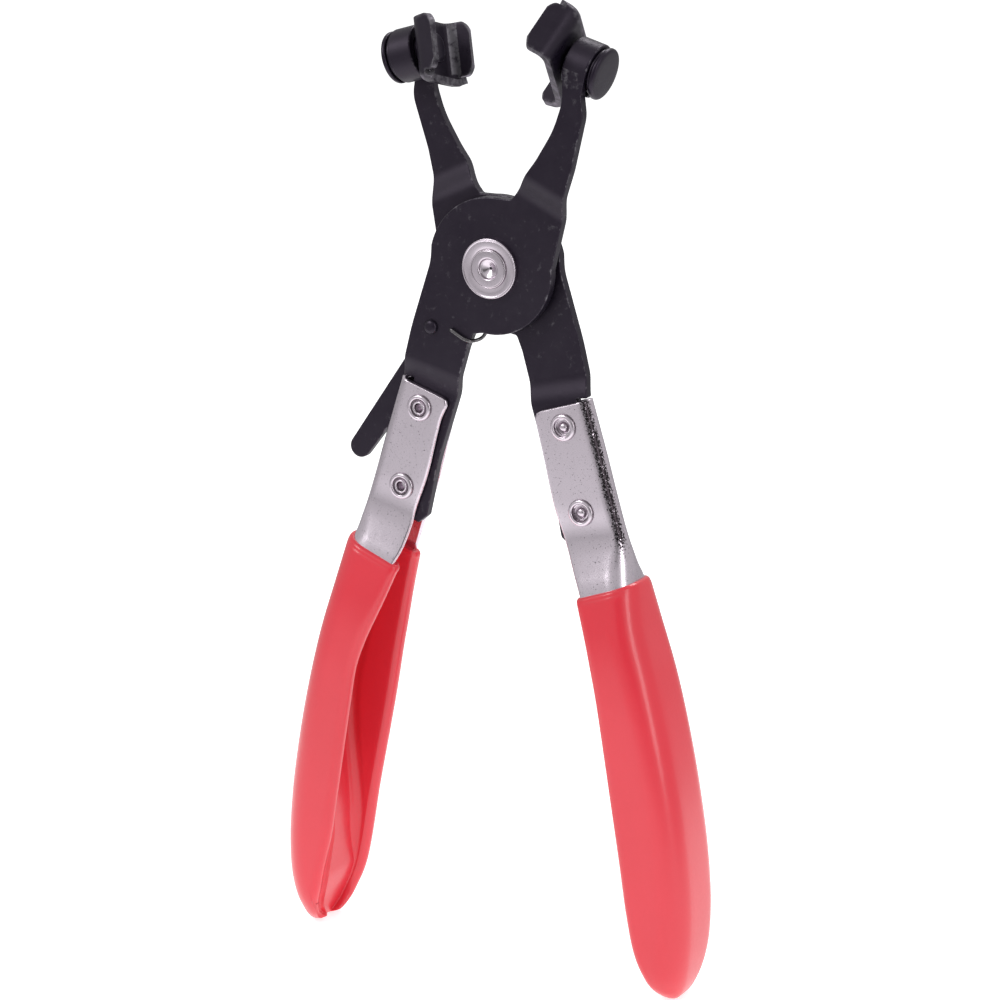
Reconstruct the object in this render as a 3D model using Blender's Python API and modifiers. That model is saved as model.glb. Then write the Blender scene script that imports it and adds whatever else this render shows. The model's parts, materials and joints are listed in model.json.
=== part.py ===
"""Swivel-jaw flat-band hose clamp pliers, standing on the handle ends, jaws up.

The tool lies in the XZ plane. -Y is its front, +Z points to the jaws and X runs from the left handle
to the right one. The two arms cross at the pivot: the front arm joins the right jaw to the left
handle, and the rear arm is the same pressing turned half a turn about Z. Points in the lists below are
millimetres from the pivot axis, in the front arm's half unless they say otherwise.
"""

import math

import bmesh
import bpy
from mathutils import Matrix, Vector


def mm(value):
    return value * 0.001


# ---------------------------------------------------------------- driving dimensions
HANDLE_SCALE = 1.0  # stretches the handles' length below the rivets
HANDLE_BOW = 0.007  # both handles set to the right by this share of the length below the rivets
PIVOT_HEIGHT = mm(162.95)  # pivot axis above the handle ends
FULL_TURN = 32  # sides of the larger round pieces
SMALL_TURN = 20  # sides of the smaller round pieces
FIT = mm(0.3)  # gap between fixed neighbours
BORE_FIT = mm(0.1)  # gap round a pin that turns or holds

ARM_SHEET = mm(2.4)
ARM_GAP = mm(1.1)  # between the two arms at the pivot, where the spring lies
DISC_RADIUS = mm(15.0)
CROWN_RADIUS = mm(15.7)
ARM_MID = ARM_GAP / 2 + ARM_SHEET / 2
UPPER_STEP_START = mm(20.5)  # measured from the pivot towards the jaw
UPPER_STEP_END = mm(24.5)
LOWER_STEP_START = mm(25.0)  # measured from the pivot towards the handle
LOWER_STEP_END = mm(30.5)

EYE_RADIUS = mm(6.0)
EYE_BORE = mm(3.9)
EYE_LENGTH = mm(5.8)
EYE_X = mm(21.5)
EYE_Z = mm(45.3)
JAW_TILT = math.radians(16.0)  # jaw axis above the horizontal with the tool open

PIVOT_SHANK = mm(4.0)
WASHER_RADIUS = mm(6.7)
WASHER_SHEET = mm(1.0)
RIVET_RIM = mm(4.4)

CHANNEL_SHEET = mm(1.2)
CHANNEL_CORNER = mm(5.2)
COAT = mm(1.2)
GRIP_DEPTH = mm(9.2)  # half the steel channel's depth inside the grip

HANDLE_RIVETS = ((mm(18.3), mm(-33.8)), (mm(23.0), mm(-52.6)))
RIVET_SHANK = mm(1.75)
RIVET_BORE = mm(1.1)
RIVET_HEAD = mm(3.05)
RIVET_HEAD_HEIGHT = mm(0.6)

LEVER_PIN = (mm(-15.1), mm(-14.8))
LEVER_PIN_RADIUS = mm(1.3)
LEVER_SHEET = mm(2.0)
LEVER_FRONT = mm(0.75)  # front face of the lever at its pin
LEVER_SET_BACK = mm(2.85)  # how far the lever's tail is stepped back
LEVER_HUB = mm(3.5)
LEVER_TAIL = mm(39.1)
LEVER_TIP_OFFSET = mm(1.3)
LEVER_TIP_RADIUS = mm(2.6)
TOOTH_DEPTH = mm(1.0)
TOOTH_COUNT = 8

JAW_SHEET = mm(1.6)
JAW_HALF_WIDTH = mm(6.4)
JAW_HALF_LENGTH = mm(8.6)
JAW_FLANGE = mm(5.4)
JAW_FLARE = math.radians(14.0)
JAW_BEND = mm(3.0)  # middle radius of the jaw's folds
JAW_LIP_RISE = mm(2.6)
JAW_LIP_REACH = mm(1.9)
LEFT_JAW_TURN = math.radians(17.0)
RIGHT_JAW_TURN = math.radians(-49.0)
JAW_PIN = mm(3.8)
JAW_PIN_NECK = mm(2.5)
PIN_HEAD_RADIUS = mm(5.8)
PIN_HEAD_SHEET = mm(1.2)
GROOVE = mm(0.9)

SPRING_WIRE = mm(0.42)  # radius
SPRING_COIL = mm(7.2)
LEVER_SPRING_WIRE = mm(0.25)

# Outline of the front arm: (x, z, corner radius). The disc's two arcs are added between the lists.
UPPER_OUTER = (
    (24.2, 44.5, 0.0),
    (23.2, 40.0, 1.0),
    (23.8, 35.5, 8.0),
    (19.6, 21.0, 25.0),
    (15.7, 4.0, 8.0),
)
LOWER_INNER = (
    (-4.6, -15.3, 0.9),
    (-6.0, -18.6, 5.0),
    (-9.7, -31.3, 60.0),
    (-14.3, -45.7, 60.0),
    (-17.3, -59.3, 1.0),
    (-19.6, -61.2, 0.6),
    (-27.6, -57.2, 0.6),
    (-25.6, -45.0, 60.0),
    (-20.9, -27.0, 0.3),
    (-20.6, -25.7, 0.3),
    (-22.9, -25.1, 0.5),
    (-20.3, -15.0, 60.0),
    (-15.4, 0.2, 60.0),
)
UPPER_INNER = (
    (4.9, 15.6, 1.0),
    (8.6, 19.3, 5.0),
    (12.4, 25.2, 25.0),
    (16.6, 32.0, 25.0),
    (18.6, 38.0, 10.0),
    (18.7, 46.1, 0.0),
)

# The steel channel of a handle, from the top down: the back of the web, the flanges' free edge, half depth.
CHANNEL_STATIONS = (
    ((23.7, -27.2), (13.1, -30.6), 2.7),
    ((23.8, -27.5), (11.9, -31.4), 2.7),
    ((24.2, -28.8), (11.6, -32.6), 2.7),
    ((27.6, -39.5), (13.9, -41.2), 2.7),
    ((30.6, -49.5), (16.6, -51.8), 2.7),
    ((33.0, -57.0), (19.7, -59.8), 2.8),
    ((34.8, -62.3), (22.8, -66.0), 4.9),
    ((36.2, -67.2), (25.6, -71.0), 7.0),
    ((38.3, -76.2), (29.0, -81.0), 8.5),
    ((42.1, -88.5), (31.9, -93.0), 9.1),
    ((45.8, -103.0), (34.3, -106.5), 9.2),
    ((48.7, -117.5), (36.4, -119.0), 9.2),
    ((50.6, -130.5), (38.3, -130.5), 9.2),
    ((51.4, -142.5), (40.1, -142.0), 9.2),
    ((51.0, -151.5), (41.9, -151.0), 8.8),
    ((49.7, -157.8), (43.8, -156.8), 7.6),
)
COAT_TOP = ((36.5, -68.4), (26.1, -72.2), 7.25)
COAT_FIRST = 8  # first channel station below the coat's top edge
COAT_END = (
    ((48.3, -160.9), (44.7, -160.0), 5.6),
    ((46.9, -162.6), (45.6, -162.2), 2.9),
)

DARK = (0.035, 0.032, 0.040)
PLATED = (0.60, 0.57, 0.60)
RED = (0.70, 0.055, 0.075)


# ---------------------------------------------------------------- scene and collections
for old in list(bpy.data.objects):
    bpy.data.objects.remove(old)

parts = bpy.data.collections.new("hose_clamp_pliers")
cutters = bpy.data.collections.new("cutters")
bpy.context.scene.collection.children.link(parts)
bpy.context.scene.collection.children.link(cutters)


def material(name, colour, roughness, metallic):
    made = bpy.data.materials.new(name)
    made.use_nodes = True
    shader = made.node_tree.nodes["Principled BSDF"]
    shader.inputs["Base Color"].default_value = (*colour, 1.0)
    shader.inputs["Roughness"].default_value = roughness
    shader.inputs["Metallic"].default_value = metallic
    return made


def add_object(name, mesh, finish, collection=None):
    made = bpy.data.objects.new(name, mesh)
    if finish is not None:
        mesh.materials.append(material(name, *finish))
    (collection or parts).objects.link(made)
    return made


def axis_empty(name, x, z):
    empty = bpy.data.objects.new(name, None)
    empty.location = (x, 0.0, PIVOT_HEIGHT + z)
    parts.objects.link(empty)
    return empty


def ride(piece, empty):
    piece.parent = empty
    piece.matrix_parent_inverse = Matrix.Translation(-empty.location)


def smooth(mesh, angle=35.0):
    mesh.polygons.foreach_set("use_smooth", [True] * len(mesh.polygons))
    mesh.set_sharp_from_angle(angle=math.radians(angle))


def mesh_from(builder, name):
    mesh = bpy.data.meshes.new(name)
    builder.normal_update()
    builder.to_mesh(mesh)
    builder.free()
    return mesh


def difference(piece, cutter):
    cut = piece.modifiers.new(cutter.name, "BOOLEAN")
    cut.operation = "DIFFERENCE"
    cut.solver = "EXACT"
    cut.object = cutter


def union(piece, other):
    join = piece.modifiers.new(other.name, "BOOLEAN")
    join.operation = "UNION"
    join.solver = "EXACT"
    join.object = other


def as_cutter(name, mesh):
    made = add_object(name, mesh, None, cutters)
    made.hide_render = True
    made.display_type = "WIRE"
    return made


def rod(name, radius, half, centre, direction, sides=SMALL_TURN):
    """A cylinder used to cut or join, centred at a point and pointing along a direction."""
    builder = bmesh.new()
    bmesh.ops.create_cone(
        builder,
        cap_ends=True,
        segments=sides,
        radius1=radius,
        radius2=radius,
        depth=2 * half,
    )
    made = as_cutter(name, mesh_from(builder, name))
    made.rotation_euler = direction.to_track_quat("Z", "X").to_euler()
    made.location = centre
    return made


def at_pivot(x, y, z):
    return Vector((x, y, z + PIVOT_HEIGHT))


# ---------------------------------------------------------------- turned pieces
def turned(name, profile, centre, direction, finish, sides=SMALL_TURN, closed=False):
    """A profile of (radius, height) spun about a direction. A closed profile makes a ring."""
    mesh = bpy.data.meshes.new(name)
    points = [(radius, 0.0, height) for radius, height in profile]
    edges = [(i, i + 1) for i in range(len(points) - 1)]
    if closed:
        edges.append((len(points) - 1, 0))
    mesh.from_pydata(points, edges, [])
    made = add_object(name, mesh, finish)
    screw = made.modifiers.new("Turn", "SCREW")
    screw.steps = sides
    screw.render_steps = sides
    screw.use_merge_vertices = True
    screw.merge_threshold = 0.00001
    screw.use_smooth_shade = True
    made.rotation_euler = direction.to_track_quat("Z", "X").to_euler()
    made.location = centre
    return made


# ---------------------------------------------------------------- flat outlines
def rounded(points):
    """Points in metres with their corners rounded, as a list of (x, z)."""
    result = []
    count = len(points)
    for index, (x, z, radius) in enumerate(points):
        here = Vector((x, z))
        if radius <= 0:
            result.append(here)
            continue
        before = Vector(points[index - 1][:2]) - here
        after = Vector(points[(index + 1) % count][:2]) - here
        corner = before.angle(after)
        reach = radius / math.tan(corner / 2)
        reach = min(reach, before.length * 0.48, after.length * 0.48)
        start = here + before.normalized() * reach
        end = here + after.normalized() * reach
        steps = 2 if math.pi - corner < 0.35 else 5
        for step in range(steps + 1):
            t = step / steps
            result.append(start * (1 - t) ** 2 + here * 2 * t * (1 - t) + end * t**2)
    return result


def arc(radius, start, end, steps):
    """Points on a circle round the pivot, between two angles in degrees."""
    result = []
    for step in range(steps + 1):
        angle = math.radians(start + (end - start) * step / steps)
        result.append((radius * math.cos(angle), radius * math.sin(angle), 0.0))
    return result


def metres(points):
    return [(mm(x), mm(z), mm(radius)) for x, z, radius in points]


def plate(name, outline, thickness):
    """A flat plate in the XZ plane, centred on y = 0."""
    curve = bpy.data.curves.new(name, "CURVE")
    curve.dimensions = "2D"
    curve.fill_mode = "BOTH"
    curve.extrude = thickness / 2
    line = curve.splines.new("POLY")
    line.points.add(len(outline) - 1)
    for point, (x, z) in zip(line.points, outline):
        point.co = (x, z, 0.0, 1.0)
    line.use_cyclic_u = True
    made = bpy.data.objects.new(name, curve)
    parts.objects.link(made)
    graph = bpy.context.evaluated_depsgraph_get()
    mesh = bpy.data.meshes.new_from_object(made.evaluated_get(graph))
    bpy.data.objects.remove(made)
    builder = bmesh.new()
    builder.from_mesh(mesh)
    bmesh.ops.remove_doubles(builder, verts=builder.verts, dist=0.000001)
    # The curve lies in XY: stand it up so that its y becomes z and its normal faces the front.
    bmesh.ops.rotate(builder, verts=builder.verts, matrix=Matrix.Rotation(math.pi / 2, 3, "X"))
    bmesh.ops.recalc_face_normals(builder, faces=builder.faces)
    return builder


def split_across(builder, direction, distances):
    """Cut a plate along lines square to a direction in the XZ plane, so that it can bend there."""
    normal = Vector((direction[0], 0.0, direction[1]))
    for distance in distances:
        bmesh.ops.bisect_plane(
            builder,
            geom=builder.verts[:] + builder.edges[:] + builder.faces[:],
            dist=0.0000001,
            plane_co=normal * distance,
            plane_no=normal,
        )


def ramp(value, start, end):
    return min(max((value - start) / (end - start), 0.0), 1.0)


# ---------------------------------------------------------------- arms
EYE_LENGTH_FROM_PIVOT = math.hypot(EYE_X, EYE_Z)
TO_JAW = (EYE_X / EYE_LENGTH_FROM_PIVOT, EYE_Z / EYE_LENGTH_FROM_PIVOT)
TO_HANDLE = (-0.236, -0.972)
JAW_AXIS = Vector((math.cos(JAW_TILT), 0.0, -math.sin(JAW_TILT)))  # outwards from the right jaw
JAW_SIDE = Vector((math.sin(JAW_TILT), 0.0, math.cos(JAW_TILT)))
EYE_PLATE_MID = EYE_RADIUS - ARM_SHEET / 2


def arm_outline():
    points = metres(UPPER_OUTER)
    points += arc(DISC_RADIUS, 3.0, -98.0, 16)
    points += metres(LOWER_INNER)
    points += arc(CROWN_RADIUS, 166.0, 84.0, 12)
    points += metres(UPPER_INNER)
    return rounded(points)


def arm_builder(name):
    builder = plate(name, arm_outline(), ARM_SHEET)
    split_across(builder, TO_JAW, (UPPER_STEP_START, UPPER_STEP_END))
    split_across(builder, TO_HANDLE, (LOWER_STEP_START, LOWER_STEP_END))
    for vert in builder.verts:
        along_jaw = vert.co.x * TO_JAW[0] + vert.co.z * TO_JAW[1]
        along_handle = vert.co.x * TO_HANDLE[0] + vert.co.z * TO_HANDLE[1]
        upper = ramp(along_jaw, UPPER_STEP_START, UPPER_STEP_END)
        lower = ramp(along_handle, LOWER_STEP_START, LOWER_STEP_END)
        middle = -ARM_MID - upper * (EYE_PLATE_MID - ARM_MID) + lower * ARM_MID
        vert.co.y += middle
    return builder


def make_arm(name, turn):
    """An arm pressing. turn is 0 for the front arm and 1 for the rear arm, half a turn round Z."""
    side = -1.0 if turn else 1.0
    builder = arm_builder(name)
    spin = Matrix.Rotation(math.pi * turn, 4, "Z")
    bmesh.ops.transform(builder, matrix=spin, verts=builder.verts)
    made = add_object(name, mesh_from(builder, name), (DARK, 0.38, 0.75))
    made.location = (0.0, 0.0, PIVOT_HEIGHT)
    axis = spin.to_3x3() @ JAW_AXIS
    centre = at_pivot(side * EYE_X, 0.0, EYE_Z)
    front = Vector((0.0, 1.0, 0.0))
    union(made, rod(name + "_eye", EYE_RADIUS, EYE_LENGTH / 2, centre, axis, FULL_TURN))
    difference(made, rod(name + "_eye_bore", EYE_BORE, EYE_LENGTH, centre, axis))
    pivot = at_pivot(0.0, side * -ARM_MID, 0.0)
    difference(made, rod(name + "_pivot_bore", PIVOT_SHANK + BORE_FIT, mm(4), pivot, front, FULL_TURN))
    for number, (x, z) in enumerate(HANDLE_RIVETS):
        spot = at_pivot(-side * x, 0.0, z)
        hole = rod(f"{name}_rivet_hole_{number}", RIVET_SHANK + BORE_FIT, mm(5), spot, front)
        difference(made, hole)
    return made


front_arm = make_arm("front_arm", 0)
rear_arm = make_arm("rear_arm", 1)

lever_hole = rod(
    "lever_pin_hole",
    LEVER_PIN_RADIUS + BORE_FIT,
    mm(3),
    at_pivot(LEVER_PIN[0], -ARM_MID, LEVER_PIN[1]),
    Vector((0.0, 1.0, 0.0)),
)
difference(front_arm, lever_hole)


def tooth_cutter():
    """Ratchet gaps cut in the rear arm's disc, where the lever's tooth passes as the tool closes."""
    builder = bmesh.new()
    pitch = 4.6
    for number in range(TOOTH_COUNT):
        start = 197.0 + pitch * number
        corners = (
            (DISC_RADIUS + mm(0.6), start),
            (DISC_RADIUS - TOOTH_DEPTH, start + 0.5),
            (DISC_RADIUS - TOOTH_DEPTH, start + 1.3),
            (DISC_RADIUS + mm(0.6), start + pitch - 0.5),
        )
        rings = []
        for y in (0.0, ARM_GAP + ARM_SHEET):
            ring = []
            for radius, angle in corners:
                turn = math.radians(angle)
                ring.append(builder.verts.new((radius * math.cos(turn), y, radius * math.sin(turn))))
            rings.append(ring)
        builder.faces.new(rings[0])
        builder.faces.new(rings[1])
        for i in range(4):
            j = (i + 1) % 4
            builder.faces.new((rings[0][i], rings[0][j], rings[1][j], rings[1][i]))
    bmesh.ops.recalc_face_normals(builder, faces=builder.faces)
    made = as_cutter("ratchet_gaps", mesh_from(builder, "ratchet_gaps"))
    made.location = (0.0, 0.0, PIVOT_HEIGHT)
    return made


difference(rear_arm, tooth_cutter())

# ---------------------------------------------------------------- pivot
BACK = Vector((0.0, 1.0, 0.0))
ARM_OUTSIDE = ARM_GAP / 2 + ARM_SHEET
WASHER_OUTSIDE = ARM_OUTSIDE + BORE_FIT + WASHER_SHEET
HEAD_OUTSIDE = WASHER_OUTSIDE + BORE_FIT + mm(0.35)
tang_hole = rod(
    "spring_tang_hole",
    SPRING_WIRE + mm(0.25),
    mm(3),
    at_pivot(mm(9.3), ARM_MID, mm(-8.4)),
    BACK,
)
difference(rear_arm, tang_hole)
turned(
    "pivot_rivet",
    (
        (0.0, HEAD_OUTSIDE - mm(1.2)),
        (mm(2.1), HEAD_OUTSIDE - mm(0.9)),
        (mm(2.4), HEAD_OUTSIDE - mm(0.1)),
        (mm(2.9), HEAD_OUTSIDE),
        (RIVET_RIM - mm(0.3), HEAD_OUTSIDE),
        (RIVET_RIM, HEAD_OUTSIDE - mm(0.3)),
        (RIVET_RIM, WASHER_OUTSIDE + BORE_FIT),
        (PIVOT_SHANK, WASHER_OUTSIDE + BORE_FIT),
        (PIVOT_SHANK, -WASHER_OUTSIDE - BORE_FIT),
        (RIVET_RIM, -WASHER_OUTSIDE - BORE_FIT),
        (RIVET_RIM, -HEAD_OUTSIDE + mm(0.3)),
        (RIVET_RIM - mm(0.3), -HEAD_OUTSIDE),
        (mm(2.9), -HEAD_OUTSIDE),
        (mm(2.4), -HEAD_OUTSIDE + mm(0.1)),
        (mm(2.1), -HEAD_OUTSIDE + mm(0.9)),
        (0.0, -HEAD_OUTSIDE + mm(1.2)),
    ),
    at_pivot(0.0, 0.0, 0.0),
    BACK,
    (PLATED, 0.25, 1.0),
    FULL_TURN,
)
for name, side in (("pivot_front_washer", -1.0), ("pivot_rear_washer", 1.0)):
    middle = side * (ARM_OUTSIDE + BORE_FIT + WASHER_SHEET / 2)
    turned(
        name,
        (
            (PIVOT_SHANK + BORE_FIT, WASHER_SHEET / 2),
            (WASHER_RADIUS, WASHER_SHEET / 2),
            (WASHER_RADIUS, -WASHER_SHEET / 2),
            (PIVOT_SHANK + BORE_FIT, -WASHER_SHEET / 2),
        ),
        at_pivot(0.0, middle, 0.0),
        BACK,
        (PLATED, 0.25, 1.0),
        FULL_TURN,
        closed=True,
    )
SPACER_HALF = ARM_GAP / 2 - BORE_FIT
turned(
    "pivot_spacer",
    (
        (PIVOT_SHANK + BORE_FIT, SPACER_HALF),
        (mm(5.9), SPACER_HALF),
        (mm(5.9), -SPACER_HALF),
        (PIVOT_SHANK + BORE_FIT, -SPACER_HALF),
    ),
    at_pivot(0.0, 0.0, 0.0),
    BACK,
    (PLATED, 0.4, 1.0),
    FULL_TURN,
    closed=True,
)


# ---------------------------------------------------------------- springs
def wire(name, points, radius, finish):
    curve = bpy.data.curves.new(name, "CURVE")
    curve.dimensions = "3D"
    curve.bevel_depth = radius
    curve.bevel_resolution = 1
    curve.use_fill_caps = True
    line = curve.splines.new("POLY")
    line.points.add(len(points) - 1)
    for point, (x, y, z) in zip(line.points, points):
        point.co = (x, y, z, 1.0)
    made = bpy.data.objects.new(name, curve)
    made.data.materials.append(material(name, *finish))
    made.location = (0.0, 0.0, PIVOT_HEIGHT)
    parts.objects.link(made)
    return made


SPRING_TANG = (mm(9.3), mm(-8.4))  # where the spring's tang sits in the rear arm


def spring_points():
    """An open ring round the spacer: one leg hooks over the front arm, a tang sits in the rear arm."""
    front_face = -ARM_GAP / 2 - ARM_SHEET - SPRING_WIRE - mm(0.15)
    hook = (
        (mm(-9.6), front_face, mm(-14.9)),
        (mm(-6.2), front_face, mm(-16.8)),
        (mm(-4.8), front_face + mm(0.3), mm(-17.6)),
        (mm(-4.5), mm(-1.5), mm(-17.6)),
        (mm(-3.4), mm(-0.5), mm(-16.9)),
        (mm(-2.3), mm(-0.1), mm(-15.3)),
        (mm(-2.4), 0.0, mm(-13.6)),
        (mm(-5.2), 0.0, mm(-8.6)),
    )
    ring = []
    for step in range(25):
        angle = math.radians(222.0 - 250.0 * step / 24)
        ring.append((SPRING_COIL * math.cos(angle), 0.0, SPRING_COIL * math.sin(angle)))
    x, z = SPRING_TANG
    tang = ((x - mm(0.5), mm(0.02), z + mm(0.4)), (x, mm(0.35), z), (x, ARM_OUTSIDE + mm(0.5), z))
    return hook + tuple(ring) + tang


wire("opening_spring", spring_points(), SPRING_WIRE, (PLATED, 0.3, 1.0))


# ---------------------------------------------------------------- handles
def station_list(entries, side):
    """Stations in metres, with the part below the rivets stretched by the handle scale and bowed."""
    limit = mm(-57.0)
    result = []
    for outer, inner, half in entries:
        pair = []
        for x, z in (outer, inner):
            z = mm(z)
            below = max(limit - z, 0.0)
            z = z - below * (HANDLE_SCALE - 1.0)
            pair.append(Vector((side * mm(x) + below * HANDLE_BOW, 0.0, z)))
        result.append((pair[0], pair[1], min(mm(half), GRIP_DEPTH)))
    return result


def section(outer, inner, half, out, thin, edge):
    """The closed U section of a channel: its outside, then its inside on the way back."""
    along = (outer - inner).normalized()
    width = (outer - inner).length
    points = []
    for shift, backwards in ((out, False), (-thin, True)):
        reach = max(width + shift, mm(0.5) if backwards else 0.0)
        depth = max(half + shift, mm(0.25))
        corner = min(half - mm(0.15), CHANNEL_CORNER) + shift
        corner = min(max(corner, mm(0.12)), depth - mm(0.1), reach + edge - mm(0.1))
        corner = max(corner, mm(0.05))
        path = [(-edge, -depth)]
        for side in (-1, 1):
            for step in range(7):
                turn = math.pi / 2 * (step if side < 0 else 6 - step) / 6
                across = reach - corner + corner * math.sin(turn)
                deep = side * (depth - corner + corner * math.cos(turn))
                path.append((across, deep))
        path.append((-edge, depth))
        if backwards:
            path.reverse()
        points += [inner + along * a + Vector((0.0, d, 0.0)) for a, d in path]
    return points


def channel_mesh(name, stations, out, thin, edge):
    builder = bmesh.new()
    rings = []
    for outer, inner, half in stations:
        ring = [builder.verts.new(point) for point in section(outer, inner, half, out, thin, edge)]
        rings.append(ring)
    count = len(rings[0])
    for first, second in zip(rings, rings[1:]):
        for i in range(count):
            j = (i + 1) % count
            builder.faces.new((first[i], first[j], second[j], second[i]))
    half_count = count // 2
    for ring in (rings[0], rings[-1]):
        for i in range(half_count - 1):
            j = count - 1 - i
            builder.faces.new((ring[i], ring[i + 1], ring[j - 1], ring[j]))
    bmesh.ops.recalc_face_normals(builder, faces=builder.faces)
    return mesh_from(builder, name)


def shifted(station, other, share):
    """A station moved past the first one, away from the next."""
    return tuple(a + (a - b) * share for a, b in zip(station, other))


def make_handle(prefix, side):
    steel = station_list(CHANNEL_STATIONS, side)
    channel = add_object(
        prefix + "_handle_channel",
        channel_mesh(prefix + "_handle_channel", steel, 0.0, CHANNEL_SHEET, 0.0),
        (PLATED, 0.22, 1.0),
    )
    channel.location = (0.0, 0.0, PIVOT_HEIGHT)
    for number, (x, z) in enumerate(HANDLE_RIVETS):
        spot = at_pivot(side * x, 0.0, z)
        hole = rod(f"{prefix}_channel_hole_{number}", RIVET_SHANK + BORE_FIT, mm(5), spot, BACK)
        difference(channel, hole)

    top = station_list((COAT_TOP,), side)
    end = station_list(COAT_END, side)
    coat = top + steel[COAT_FIRST:] + end
    grip_name = prefix + "_grip"
    grip = add_object(
        grip_name,
        channel_mesh(grip_name, coat, COAT, CHANNEL_SHEET + COAT, COAT),
        (RED, 0.25, 0.0),
    )
    grip.location = (0.0, 0.0, PIVOT_HEIGHT)
    hollow = [steel[COAT_FIRST - 2]] + [steel[COAT_FIRST - 1]] + steel[COAT_FIRST:]
    hollow.append(shifted(steel[-1], steel[-2], 0.05))
    pocket_name = prefix + "_grip_pocket"
    pocket = as_cutter(pocket_name, channel_mesh(pocket_name, hollow, FIT, CHANNEL_SHEET + FIT, FIT))
    pocket.location = (0.0, 0.0, PIVOT_HEIGHT)
    difference(grip, pocket)
    return channel, grip


left_channel, left_grip = make_handle("left", -1.0)
right_channel, right_grip = make_handle("right", 1.0)

CHANNEL_FACE = mm(2.7)  # half depth of the channel where the rivets sit


def handle_rivet(name, x, z):
    seat = CHANNEL_FACE + BORE_FIT
    face = seat + RIVET_HEAD_HEIGHT
    return turned(
        name,
        (
            (RIVET_BORE, face - mm(0.7)),
            (mm(1.7), face - mm(0.15)),
            (mm(2.1), face),
            (RIVET_HEAD - mm(0.35), face),
            (RIVET_HEAD, seat + mm(0.2)),
            (RIVET_HEAD, seat),
            (RIVET_SHANK, seat),
            (RIVET_SHANK, -seat),
            (RIVET_HEAD, -seat),
            (RIVET_HEAD, -seat - mm(0.2)),
            (RIVET_HEAD - mm(0.35), -face),
            (mm(2.1), -face),
            (mm(1.7), -face + mm(0.15)),
            (RIVET_BORE, -face + mm(0.7)),
        ),
        at_pivot(x, 0.0, z),
        BACK,
        (PLATED, 0.25, 1.0),
        closed=True,
    )


upper, lower = HANDLE_RIVETS
left_upper_rivet = handle_rivet("left_upper_rivet", -upper[0], upper[1])
left_lower_rivet = handle_rivet("left_lower_rivet", -lower[0], lower[1])
handle_rivet("right_upper_rivet", upper[0], upper[1])
handle_rivet("right_lower_rivet", lower[0], lower[1])


# ---------------------------------------------------------------- lock lever
LEVER_DIRECTION = Vector((-0.555, 0.0, -0.832))
LEVER_ACROSS = Vector((-0.832, 0.0, 0.555))  # to the lever's outer side


def lever_outline():
    pin = Vector((LEVER_PIN[0], 0.0, LEVER_PIN[1]))
    tip = pin + LEVER_DIRECTION * LEVER_TAIL + LEVER_ACROSS * LEVER_TIP_OFFSET
    points = []
    # Round the tail's tip, from its outer side to its inner side.
    for step in range(9):
        turn = math.pi * step / 8
        side = LEVER_ACROSS * math.cos(turn) + LEVER_DIRECTION * math.sin(turn)
        point = tip + side * LEVER_TIP_RADIUS
        points.append((point.x, point.z))
    inner = pin + LEVER_DIRECTION * mm(4) - LEVER_ACROSS * LEVER_HUB
    points.append((inner.x, inner.z))
    for step in range(7):
        turn = math.radians(-20 + 100 * step / 6)
        points.append((pin.x + LEVER_HUB * math.cos(turn), pin.z + LEVER_HUB * math.sin(turn)))
    # The arm beside the rear disc, and the tooth that drops into the ratchet gaps.
    points += [
        (mm(-15.6), mm(-8.2)),
        (mm(-14.55), mm(-4.7)),
        (mm(-15.0), mm(-3.1)),
        (mm(-17.9), mm(-3.3)),
        (mm(-19.0), mm(-6.0)),
        (mm(-18.9), mm(-11.0)),
    ]
    hub_side = pin + LEVER_ACROSS * LEVER_HUB
    points.append((hub_side.x, hub_side.z))
    return points


lever_builder = plate("lock_lever", lever_outline(), LEVER_SHEET)
pin_along = LEVER_PIN[0] * LEVER_DIRECTION.x + LEVER_PIN[1] * LEVER_DIRECTION.z
bend_start = pin_along + mm(4.2)
bend_end = pin_along + mm(9.0)
split_across(lever_builder, (LEVER_DIRECTION.x, LEVER_DIRECTION.z), (bend_start, bend_end))
for vert in lever_builder.verts:
    along = vert.co.x * LEVER_DIRECTION.x + vert.co.z * LEVER_DIRECTION.z
    vert.co.y += LEVER_FRONT + LEVER_SHEET / 2 + LEVER_SET_BACK * ramp(along, bend_start, bend_end)
lock_lever = add_object("lock_lever", mesh_from(lever_builder, "lock_lever"), (DARK, 0.4, 0.75))
lock_lever.location = (0.0, 0.0, PIVOT_HEIGHT)
difference(
    lock_lever,
    rod(
        "lever_bore",
        LEVER_PIN_RADIUS + mm(0.08),
        mm(3),
        at_pivot(LEVER_PIN[0], LEVER_FRONT + LEVER_SHEET / 2, LEVER_PIN[1]),
        BACK,
    ),
)

pin_front = -ARM_OUTSIDE - BORE_FIT
lever_back = LEVER_FRONT + LEVER_SHEET
lock_lever_pin = turned(
    "lock_lever_pin",
    (
        (0.0, lever_back + mm(2.3)),
        (mm(1.9), lever_back + mm(2.2)),
        (mm(2.0), lever_back + mm(1.6)),
        (LEVER_PIN_RADIUS, lever_back + mm(1.6)),
        (LEVER_PIN_RADIUS, LEVER_FRONT - mm(0.15)),
        (mm(2.4), LEVER_FRONT - mm(0.15)),
        (mm(2.4), -ARM_GAP / 2 + mm(0.15)),
        (LEVER_PIN_RADIUS, -ARM_GAP / 2 + mm(0.15)),
        (LEVER_PIN_RADIUS, pin_front),
        (mm(1.5), pin_front),
        (mm(1.5), pin_front - mm(0.45)),
        (mm(1.1), pin_front - mm(0.8)),
        (0.0, pin_front - mm(0.9)),
    ),
    at_pivot(LEVER_PIN[0], 0.0, LEVER_PIN[1]),
    BACK,
    (DARK, 0.3, 0.85),
)


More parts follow.
